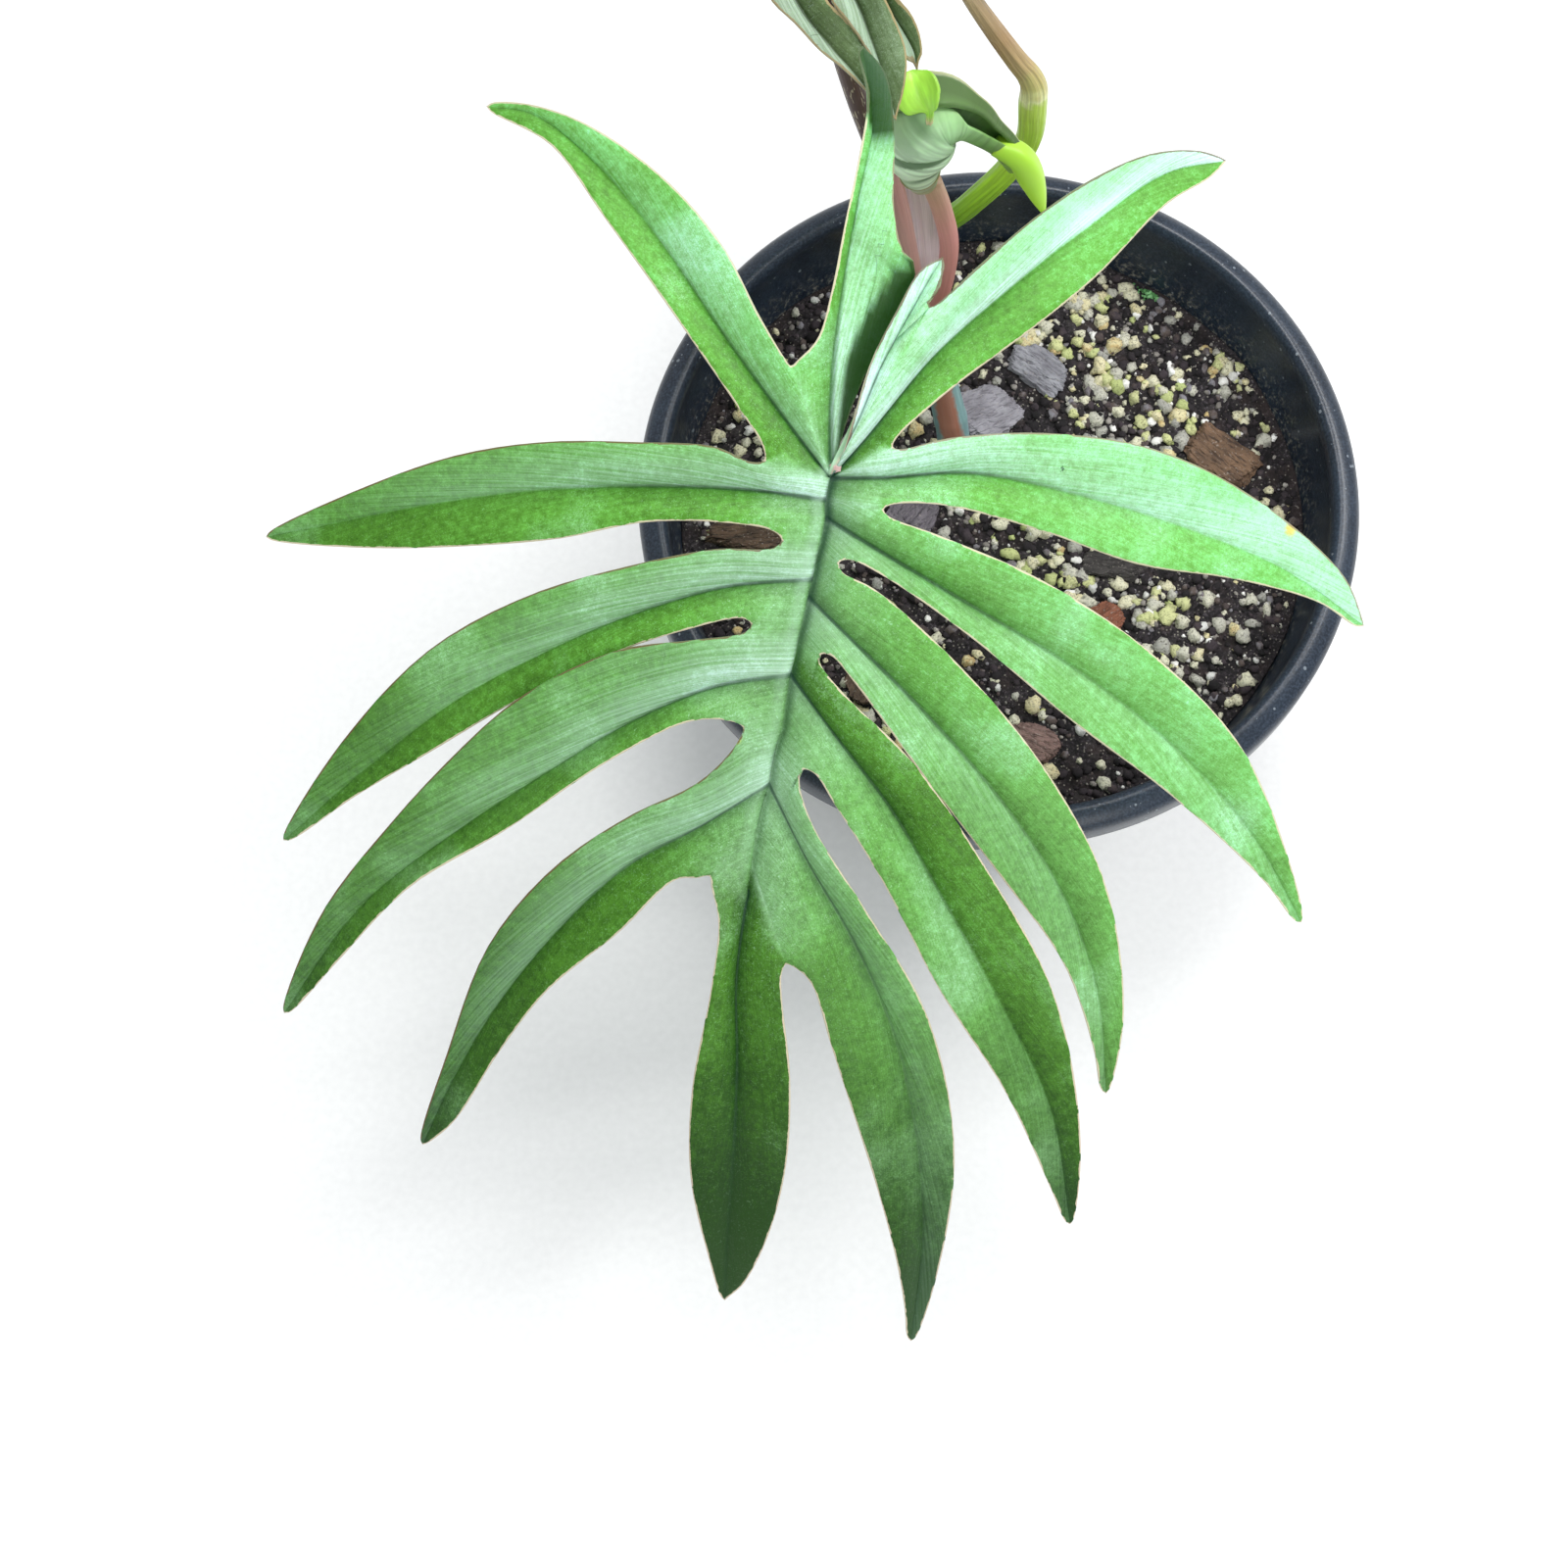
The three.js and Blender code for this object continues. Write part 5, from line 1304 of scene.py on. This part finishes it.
dress(newest_tip, strip_material("newest_leaf_lime", "#a9e04e", "#8fc43a", "#cdbb93", 2.0, 0.4, 0.25),
      "leaf_bright", "new_tip")
dress(sheath, strip_material("papery_sheath_lilac", "#dccdd2", "#c4b0b2", "#a08c7e", 7.0, 0.6, 0.15),
      "sheath", "cataphyll")

# %% [markdown]
# ## The pot
# A nursery pot is injection-moulded or thermoformed polypropylene: a thin tapered wall with a lip
# that is rolled over and turned down outside. It is modelled as it would be turned: a small ring
# is extruded, scaled and lifted from the inside of the base up the wall, over the lip and down
# outside, and the drain holes are then cut.

# %% Pot shape
POT_HEIGHT = 148
RIM_RADIUS = 100
BASE_RADIUS = 65
WALL_TOP_RADIUS = 93.5
WALL_HEIGHT = 138
WALL = 1.8
LIP_HEIGHT = 12
POT_SIDES = 192


def wall_radius(z):
    """Outer radius of the tapered wall."""
    return BASE_RADIUS + (WALL_TOP_RADIUS - BASE_RADIUS) * z / WALL_HEIGHT


def select_nothing():
    """Leaves object mode with nothing selected."""
    if bpy.context.object and bpy.context.object.mode != "OBJECT":
        bpy.ops.object.mode_set(mode="OBJECT")
    bpy.ops.object.select_all(action="DESELECT")


# The lip, as radius and fall below the top: up inside, over, down outside and back up beneath.
LIP = [
    (91.9, 5.4), (91.9, 3.4), (92.3, 1.6), (93.1, 0.5), (94.1, 0), (95.3, 0.25), (97.0, 1.0), (98.6, 2.0),
    (99.6, 3.2), (RIM_RADIUS, 4.6), (RIM_RADIUS, 8), (RIM_RADIUS, LIP_HEIGHT - 0.5), (99.5, LIP_HEIGHT),
    (98.4, LIP_HEIGHT), (98.2, LIP_HEIGHT - 0.5), (98.2, 5), (97.2, 3.4), (95.4, 2.6), (94.2, 4.5),
]


def pot_profile():
    """Radius and height of each ring, from the inside of the base to the outside."""
    inside = [(wall_radius(z) - WALL, z) for z in (2, 4, 20, 60, 100, 125, 134, 139)]
    lip = [(radius, POT_HEIGHT - fall) for radius, fall in LIP]
    outside = [(wall_radius(z), z) for z in (139, 125, 100, 60, 20, 3)]
    return inside + lip + outside + [(wall_radius(1) - 0.3, 1.0), (BASE_RADIUS - 1.5, 0)]


profile = pot_profile()
select_nothing()
bpy.ops.mesh.primitive_circle_add(
    vertices=POT_SIDES, radius=profile[0][0] * MM, location=(0, 0, profile[0][1] * MM), fill_type="NGON")
pot = bpy.context.object
pot.name = "nursery_pot"
bpy.ops.object.transform_apply(location=True, rotation=True, scale=True)
bpy.ops.object.mode_set(mode="EDIT")
bpy.ops.mesh.select_all(action="SELECT")
bpy.ops.mesh.inset(thickness=30 * MM)
bpy.ops.mesh.select_all(action="INVERT")
bpy.ops.mesh.select_mode(type="EDGE")
bpy.ops.mesh.select_all(action="DESELECT")
edit = bmesh.from_edit_mesh(pot.data)
for edge in edit.edges:
    edge.select = edge.is_boundary
bmesh.update_edit_mesh(pot.data)
for (radius, z), (next_radius, next_z) in zip(profile, profile[1:]):
    ratio = next_radius / radius
    bpy.ops.mesh.extrude_edges_move(TRANSFORM_OT_translate={"value": (0, 0, (next_z - z) * MM)})
    bpy.ops.transform.resize(value=(ratio, ratio, 1), center_override=(0, 0, 0))
bpy.ops.mesh.edge_face_add()
bpy.ops.mesh.select_mode(type="VERT")
bpy.ops.mesh.select_all(action="SELECT")
bpy.ops.mesh.normals_make_consistent(inside=False)
bpy.ops.object.mode_set(mode="OBJECT")

# Eight drain holes on a circle in the base.
select_nothing()
HOLE_CIRCLE = 50
HOLE_RADIUS = 4.5
HOLES = 8
cutters = []
for i in range(HOLES):
    angle = 2 * math.pi * (i + 0.5) / HOLES
    bpy.ops.mesh.primitive_cylinder_add(
        vertices=32, radius=HOLE_RADIUS * MM, depth=8 * MM,
        location=(HOLE_CIRCLE * math.cos(angle) * MM, HOLE_CIRCLE * math.sin(angle) * MM, 1 * MM))
    cutters.append(bpy.context.object)
for cutter in cutters:
    cutter.select_set(True)
bpy.context.view_layer.objects.active = cutters[0]
bpy.ops.object.join()
cutter = bpy.context.object
bpy.context.view_layer.objects.active = pot
cut = pot.modifiers.new("drain_holes", "BOOLEAN")
cut.object = cutter
cut.solver = "EXACT"
bpy.ops.object.modifier_apply(modifier=cut.name)
bpy.data.objects.remove(cutter)
select_nothing()
pot.select_set(True)
bpy.context.view_layer.objects.active = pot
bpy.ops.object.shade_smooth_by_angle(angle=math.radians(50))
print("pot rings:", len(profile), "faces:", len(pot.data.polygons))


# %% [markdown]
# The plastic is black, painted with a touch of blue for the sky that it reflects, slightly
# orange-peeled from the mould, and dusty: dried splashes and dust specks sit on the lip and on the
# upper wall, most of all inside, where water has left lime. Pale blue glints of the sky are painted
# on the peaks of the orange peel.

# %% Pot material
def pot_material():
    """Moulded polypropylene, black with a painted blue sky reflection, with dust and dried splashes."""
    made, add, shader = new_material("moulded_polypropylene_black", 0.38)
    point = add.point()
    grain = add.cloud(point, 1.6, 4.0)
    cloud = add.cloud(point, 0.06, 3.0)
    # Painted reflection: the black is tinted blue for the sky.
    base = add.ramp(cloud, [(0.3, "#101823"), (0.7, "#1a2634")])
    spots = add.node("TexVoronoi", {"Vector": point, "Scale": 0.42, "Randomness": 1.0})
    limit = add.spread(add.cloud(point, 0.2, 1.0), 0.45, 0.75, 0.0, 0.26)
    spot_part = add.maths("LESS_THAN", spots, limit)
    height = add.node("SeparateXYZ", {0: add.node("TexCoord", out=3)}, out=2)
    from_axis = add.node("Mapping", {"Vector": point, "Scale": (1, 1, 0)})
    normal = add.node("TexCoord", out=1)
    facing = add.node("VectorMath", {0: from_axis, 1: normal}, operation="DOT_PRODUCT", out=1)
    lime_part = add.spread(add.cloud(point, 0.7, 5.0, 0.7), 0.52, 0.7, 0.0, 0.75)
    lime_part = add.product(lime_part, add.spread(height, 0.122, 0.136, 1.0, 0.0))
    lime_part = add.product(lime_part, add.maths("LESS_THAN", facing, 0.0))
    shade = add.layers(
        base,
        # Painted reflection of the sky: pale blue on the peaks of the orange peel.
        (add.spread(grain, 0.4, 0.75, 0.0, 0.13), "#8396b0"),
        (add.product(spot_part, 0.5), "#9aa3ab"),
        (lime_part, "#b7b2a4"),
    )
    roughness = add.spread(cloud, 0.0, 1.0, 0.26, 0.4)
    bump = add.bump(grain, 0.25, 0.0002)
    add.feed(shader, {"Base Color": shade, "Roughness": roughness, "Normal": bump})
    shader.inputs["IOR"].default_value = 1.49
    return made


dress(pot, pot_material(), "pot_plastic", "pot")

# %% [markdown]
# ## The potting mix
# The mix is dark peat and coir with bark and a great deal of perlite. Its surface is one skin with
# real crumbs in it, closed down to the base of the pot. The grains on it are their own pieces.

# %% Soil skin
SOIL_LEVEL = 126
SOIL_FOOT = 2.3
SOIL_GAP = 0.3
SOIL_RINGS = 116
SOIL_SECTORS = 400


def soil_radius(z):
    """Radius of the mix, just inside the pot's wall."""
    return wall_radius(z) - WALL - SOIL_GAP


SOIL_EDGE = soil_radius(SOIL_LEVEL - 1.5)


def relief(x, y):
    """The gentle rise and fall that the CAD soil has."""
    swell = 1.3 * math.sin(x / 17 + 1) * math.cos(y / 13)
    ripple = 0.9 * math.sin(x / 6.5 + 2) * math.sin(y / 7.5 + 0.5)
    return SOIL_LEVEL + swell + ripple - 1.5 * math.hypot(x, y) ** 4 / 88 ** 4


def crumbs(x, y):
    """Crumbs of a few millimetres on top of the relief, with crevices between them."""
    large = 0.45 - noise.voronoi(Vector((x / 4.6, y / 4.6, 0.3)))[0][0]
    small = 0.45 - noise.voronoi(Vector((x / 2.1, y / 2.1, 4.1)))[0][0]
    return 1.5 * large + 0.9 * small


def around(radius, sector):
    """Place of one sector on a circle."""
    angle = 2 * math.pi * sector / SOIL_SECTORS
    return radius * math.sin(angle), -radius * math.cos(angle)


soil_points = [[0, 0, relief(0, 0)]]
soil_values = [0.0]
for i in range(1, SOIL_RINGS + 1):
    calm = min(1.0, (SOIL_RINGS - i) / 3)
    for j in range(SOIL_SECTORS):
        x, y = around(SOIL_EDGE * i / SOIL_RINGS, j)
        rough = crumbs(x, y) * calm
        soil_points.append([x, y, relief(x, y) - 0.4 + rough])
        soil_values.append(rough)
# The sides of the mix keep a rough number of -1, which the material paints nearly black as shade.
for radius, z in ((soil_radius(70), 70), (soil_radius(2), SOIL_FOOT)):
    for j in range(SOIL_SECTORS):
        soil_points.append([*around(radius, j), z])
        soil_values.append(-1.0)
soil_points.append([0, 0, SOIL_FOOT])
soil_values.append(-1.0)
soil_faces = []
last_ring = 1 + (SOIL_RINGS + 1) * SOIL_SECTORS
for j in range(SOIL_SECTORS):
    following = (j + 1) % SOIL_SECTORS
    soil_faces.append((0, 1 + j, 1 + following))
    for i in range(SOIL_RINGS + 1):
        a = 1 + i * SOIL_SECTORS + j
        b = 1 + i * SOIL_SECTORS + following
        soil_faces.append((a, a + SOIL_SECTORS, b + SOIL_SECTORS, b))
    soil_faces.append((last_ring + j, len(soil_points) - 1, last_ring + following))
soil = make_piece("potting_mix_skin", soil_points, soil_faces, {"rough": soil_values})


def soil_material():
    """Peat and coir, with painted shade nearly black in the hollows and down the sides, and lighter grey on
    the tops of the crumbs.
    """
    made, add, shader = new_material("peat_and_coir_mix", 0.95)
    point = add.point()
    rough = add.stored("rough")
    fine = add.cloud(point, 1.1, 6.0, 0.75)
    dots = add.node("TexVoronoi", {"Vector": point, "Scale": 0.75})
    shade = add.layers(
        add.ramp(fine, [(0.34, "#0c0a0c"), (0.5, "#241f22"), (0.6, "#453e43"), (0.74, "#928e93")]),
        (add.spread(add.cloud(point, 0.12, 3.0), 0.48, 0.62, 0.0, 0.5), "#3a2d2a"),
        (add.spread(rough, 0.0, 1.0, 0.0, 0.3), "#6b6662"),
        # Painted shade: nearly black in the crevices and down the sides.
        (add.spread(rough, -0.9, 0.0, 0.85, 0.0), "#070607"),
        (add.spread(dots, 0.1, 0.24, 0.75, 0.0), "#a09a90"),
    )
    bump = add.bump(fine, 1.0, 0.0008)
    add.feed(shader, {"Base Color": shade, "Normal": bump})
    return made


dress(soil, soil_material(), "potting_mix", "soil")

# %% [markdown]
# ## Bark
# Bark comes off a pine in flat scales, and a chip keeps that: a flat, broken lump with a rough,
# layered face. Each chip starts as an ico sphere at the size and place of its CAD node and is then
# broken up by noise and by steps that look like layers.

# %% Bark chips
# Name, place, half sizes in millimetres, turn in degrees, light and dark colour.
BARK = [
    ("bark_grey_left", (-1, 33), (12, 9, 5), 25, "#a9a6ae", "#6d6970"),
    ("bark_grey_right", (14, 47), (12, 7, 5), -35, "#a3a3aa", "#5b5860"),
    ("bark_plum", (-23, 0), (11, 8, 6), 50, "#7f7880", "#48434a"),
    ("bark_brown", (66, 19), (13, 9, 6), -40, "#7a5f49", "#3d2e24"),
    ("bark_dark", (34, -14), (10, 6, 4.5), 0, "#4a4644", "#242120"),
    ("bark_red", (31, -31), (7, 6, 4.5), 30, "#9a6048", "#5a3526"),
    ("bark_pink", (10, -68), (8, 7, 5), -20, "#8a6f68", "#4e3d38"),
    ("bark_fibrous", (-68, -5), (14, 6, 5), 5, "#65503f", "#2f251e"),
    ("bark_under_leaf", (-34, -48), (11, 8, 5), 65, "#6d5a4a", "#3a2e26"),
    ("bark_front", (48, -58), (10, 8, 5), 20, "#73604f", "#3c3028"),
    ("bark_back", (-38, 58), (12, 8, 5), -15, "#7c6f67", "#453b36"),
]


def bark_material(name, light, dark, turn):
    """Weathered bark: fibres along the chip over a cloudy ground, with pale dust in the hollows."""
    made, add, shader = new_material("weathered_" + name, 0.85)
    grain_point = add.point((1, 1, 1), (0, 0, -turn))
    stretched = add.node("Mapping", {"Vector": grain_point, "Scale": (0.35, 1.6, 1.6)})
    fibre = add.cloud(stretched, 0.7, 5.0, 0.65)
    cloud = add.cloud(grain_point, 0.16, 3.0)
    base = add.ramp(fibre, [(0.34, dark), (0.52, light), (0.7, light)])
    dust = add.cloud(grain_point, 1.3, 3.0)
    shade = add.blend(add.spread(cloud, 0.35, 0.65, 0.0, 0.6), base, dark)
    shade = add.blend(add.spread(dust, 0.6, 0.75, 0.0, 0.5), shade, "#b3aaa2")
    bump = add.bump(fibre, 1.0, 0.0009)
    add.feed(shader, {"Base Color": shade, "Normal": bump})
    return made


def bark_chip(number, name, place, size, turn, light, dark):
    """One chip: an ico sphere with flat sides cut on, then layered and roughened."""
    select_nothing()
    bpy.ops.mesh.primitive_ico_sphere_add(subdivisions=6, radius=1)
    chip = bpy.context.object
    chip.name = name + "_chip"
    angle = math.radians(turn)
    cosine = math.cos(angle)
    sine = math.sin(angle)
    x0, y0 = place
    seed = Vector((3.1 * number, 1.7, 5.3))
    rng = random.Random(40 + number)
    sides = [(Vector((0, 0, 1)), 0.5)]
    for n in range(9):
        heading = 2 * math.pi * (n + 0.7 * rng.random()) / 9
        outward = Vector((math.cos(heading), math.sin(heading), rng.uniform(-0.2, 0.55))).normalized()
        sides.append((outward, rng.uniform(0.66, 0.9)))
    for n in range(3):
        heading = rng.uniform(0, 2 * math.pi)
        tilt = Vector((0.35 * math.cos(heading), 0.35 * math.sin(heading), 1)).normalized()
        sides.append((tilt, rng.uniform(0.48, 0.6)))
    for vertex in chip.data.vertices:
        p = vertex.co.copy()
        for normal, reach in sides:
            p -= normal * max(0, p.dot(normal) - reach)
        broken = noise.fractal(p * 2.2 + seed, 0.9, 2.0, 5)
        cracks = noise.voronoi(Vector((p.x * 2.2, p.y * 4.5, p.z * 3)) + seed)[0]
        crack = max(0.0, 1 - (cracks[1] - cracks[0]) / 0.16)
        fibre = noise.noise(Vector((p.x * 3, p.y * 16, p.z * 14)) + seed)
        p *= 1 + 0.1 * broken + 0.035 * fibre - 0.09 * crack
        q = Vector((p.x * size[0], p.y * size[1], p.z * size[2])) * 1.06
        across = Vector((q.x * cosine - q.y * sine, q.x * sine + q.y * cosine))
        vertex.co = Vector((across.x + x0, across.y + y0, q.z + relief(x0, y0))) * MM
    chip.data.update()
    bpy.ops.object.shade_smooth_by_angle(angle=math.radians(35))
    dress(chip, bark_material(name, light, dark, angle), "bark", name)


for number, values in enumerate(BARK):
    bark_chip(number, *values)

# %% [markdown]
# ## Perlite and crumbs
# Perlite is volcanic glass popped by heat, so a grain is a light, rounded lump like popcorn. In a
# used mix some grains are clean white, most are stained cream and some are green with algae. A few
# grain shapes are modelled once and copied hundreds of times, with few faces each. The dark crumbs
# of peat between them are copied in the same way, and so is the one small cushion of moss.

# %% Grain shapes
def grain_shapes(count, segments, ring_count, roughness, seed):
    """A few lumpy grains as arrays of points, with the faces that they share."""
    select_nothing()
    shapes = []
    for n in range(count):
        bpy.ops.mesh.primitive_uv_sphere_add(segments=segments, ring_count=ring_count, radius=1)
        grain = bpy.context.object
        points = []
        for vertex in grain.data.vertices:
            p = vertex.co.copy()
            points.append(p * (1 + roughness * noise.noise(p * 1.5 + Vector((seed, 4.0 * n, 0)))))
        faces = [tuple(face.vertices) for face in grain.data.polygons]
        shapes.append(np.array(points))
        bpy.data.objects.remove(grain)
    return shapes, faces


STEM_FOOT = (-9.8, 15.5)
STEM_CLEAR = 6.5
BARK_CLEAR = 0.85


def free_of_bark(x, y, margin):
    """True where neither a chip nor the stem stands."""
    if math.hypot(x - STEM_FOOT[0], y - STEM_FOOT[1]) < STEM_CLEAR + margin:
        return False
    for _, (bark_x, bark_y), (long, wide, _), turn, _, _ in BARK:
        angle = -math.radians(turn)
        dx = x - bark_x
        dy = y - bark_y
        u = dx * math.cos(angle) - dy * math.sin(angle)
        w = dx * math.sin(angle) + dy * math.cos(angle)
        if (u / (long * BARK_CLEAR + margin)) ** 2 + (w / (wide * BARK_CLEAR + margin)) ** 2 < 1:
            return False
    return True


# Where perlite lies thickest on this mix: place and reach in millimetres.
PERLITE_PATCHES = [
    (15, 56, 11), (34, 42, 14), (52, 30, 13), (62, 22, 10), (5, 78, 9), (27, 70, 9), (66, 46, 9),
    (78, 36, 7), (4, -6, 10), (20, -20, 9), (42, -30, 8), (28, -42, 9), (6, -66, 9), (-32, -58, 11),
    (-20, -50, 9), (-52, -22, 10), (-72, 8, 9), (-60, 40, 10), (-30, 76, 9), (-76, -28, 8),
    (52, -44, 9), (78, -8, 8),
]
# The one small cushion of moss, near the far wall.
MOSS_PATCH = [(49, 73, 2.2)]


def thickness(x, y, patches):
    """Share of grains at a place, from the patches."""
    return max(math.exp(-((x - px) ** 2 + (y - py) ** 2) / reach ** 2) for px, py, reach in patches)


def scatter(name, count, sizes, shapes, faces, seed, lift, patchy, patches=PERLITE_PATCHES):
    """Grains over the soil in one piece, each with its own tint number."""
    rng = random.Random(seed)
    points = []
    all_faces = []
    tints = []
    placed = 0
    while placed < count:
        reach = (SOIL_EDGE - 2.0) * math.sqrt(rng.random())
        angle = rng.random() * 2 * math.pi
        x = reach * math.sin(angle)
        y = -reach * math.cos(angle)
        size = sizes[0] + (sizes[1] - sizes[0]) * rng.random() ** 2
        tint = rng.random()
        spin = rng.random() * 6.28
        stretch = (0.8 + 0.5 * rng.random(), 0.75 + 0.4 * rng.random(), 0.6 + 0.3 * rng.random())
        shape = shapes[rng.randrange(len(shapes))]
        share = 1 - patchy + patchy * thickness(x, y, patches)
        if rng.random() > share or not free_of_bark(x, y, size * 0.3):
            continue
        if reach + size * 1.3 > SOIL_EDGE:
            continue
        u, v, w = (shape * np.array(stretch) * size).T
        cosine = math.cos(spin)
        sine = math.sin(spin)
        turned = np.stack([u * cosine - v * sine, u * sine + v * cosine, w], axis=1)
        z = relief(x, y) - 0.5 + 0.6 * crumbs(x, y) + lift * size
        offset = placed * len(shape)
        points.append(turned + np.array((x, y, z)))
        all_faces += [tuple(corner + offset for corner in face) for face in faces]
        tints.append(np.full(len(shape), tint))
        placed += 1
    return make_piece(name, np.vstack(points), all_faces, {"tint": np.concatenate(tints)})


perlite = grain_shapes(6, 9, 6, 0.75, 3.0)
crumb = grain_shapes(6, 6, 4, 0.7, 9.0)


def grain_material(name, stops, roughness, pits, pit_shade):
    """Grains whose colour is picked by their tint number and pitted by noise."""
    made, add, shader = new_material(name, roughness)
    tint = add.stored("tint")
    point = add.point()
    stain = add.spread(add.cloud(point, 0.6, 3.0), 0.0, 1.0, -0.2, 0.2)
    base = add.ramp(add.maths("ADD", tint, stain), stops)
    pit = add.cloud(point, 1.5, 4.0, 0.7)
    shade = add.blend(add.spread(pit, 0.32, 0.5, pits, 0.0), base, pit_shade)
    bump = add.bump(pit, 0.9, 0.0005)
    add.feed(shader, {"Base Color": shade, "Normal": bump})
    return made


# %% Scatter the grains
# Piece, finish, count, least and greatest size, shapes, lift, how patchy, roughness, colours, pits.
GRAINS = [
    ("perlite_white", "perlite_clean", 330, (0.5, 1.7), perlite, 0.35, 0.75, 0.8,
     [(0.0, "#cfcfcb"), (0.5, "#ebe9e4"), (1.0, "#fbfaf6")], (0.3, "#7c776c")),
    ("perlite_cream", "perlite_stained", 780, (0.8, 2.6), perlite, 0.2, 0.9, 0.85,
     [(0.0, "#a09f99"), (0.3, "#cdcbbb"), (0.6, "#dfdcbf"), (0.92, "#dbd0a2"), (1.0, "#cbb27c")],
     (0.85, "#3f382c")),
    ("perlite_algae", "perlite_algae_green", 210, (0.9, 2.5), perlite, 0.2, 0.95, 0.85,
     [(0.0, "#c6c795"), (0.5, "#d3d69a"), (1.0, "#b5c07e")], (0.75, "#4c4a2c")),
    ("peat_crumbs", "peat_crumb", 3800, (0.4, 1.9), crumb, 0.15, 0.0, 0.95,
     [(0.0, "#0f0c0e"), (0.45, "#2a2428"), (0.7, "#3f363b"), (0.85, "#5a4e49"), (1.0, "#87848b")],
     (0.3, "#0a0808")),
    ("dusty_crumbs", "dusty_peat_crumb", 900, (0.4, 1.1), crumb, 0.5, 0.3, 0.95,
     [(0.0, "#6c6763"), (0.6, "#97918b"), (1.0, "#b4afa8")], (0.3, "#2b2522")),
]
for number, row in enumerate(GRAINS):
    name, finish, count, sizes, shapes, lift, patchy, roughness, stops, pits = row
    heap = scatter(name, count, sizes, *shapes, 11 + number, lift, patchy)
    dress(heap, grain_material(finish, stops, roughness, *pits), "potting_mix")

moss = scatter("moss_cushion", 80, (0.35, 0.8), *crumb, 23, 0.8, 1.0, MOSS_PATCH)
moss_shades = [(0.0, "#3d6a3c"), (0.6, "#5f9c5c"), (1.0, "#93cf90")]
dress(moss, grain_material("cushion_moss", moss_shades, 0.95, 0.5, "#1f3a1e"), "potting_mix")

# %% [markdown]
# ## Floor
# The plant stands on a plain pale floor, so that its outline reads cleanly.

# %% Floor
select_nothing()
bpy.ops.mesh.primitive_plane_add(size=6, location=(0, 0, -0.0002))
floor = bpy.context.object
floor.name = "floor"
floor_finish, floor_nodes, floor_shader = new_material("matte_white_paint", 0.85)
floor_grain = floor_nodes.cloud(floor_nodes.point(), 0.4, 4.0)
floor_shade = floor_nodes.ramp(floor_grain, [(0.3, "#f1f1f0"), (0.7, "#f6f6f5")])
floor_nodes.feed(floor_shader, {"Base Color": floor_shade})
floor.data.materials.append(floor_finish)

# %% [markdown]
# ## Final update

# %% Final update
bpy.context.view_layer.update()
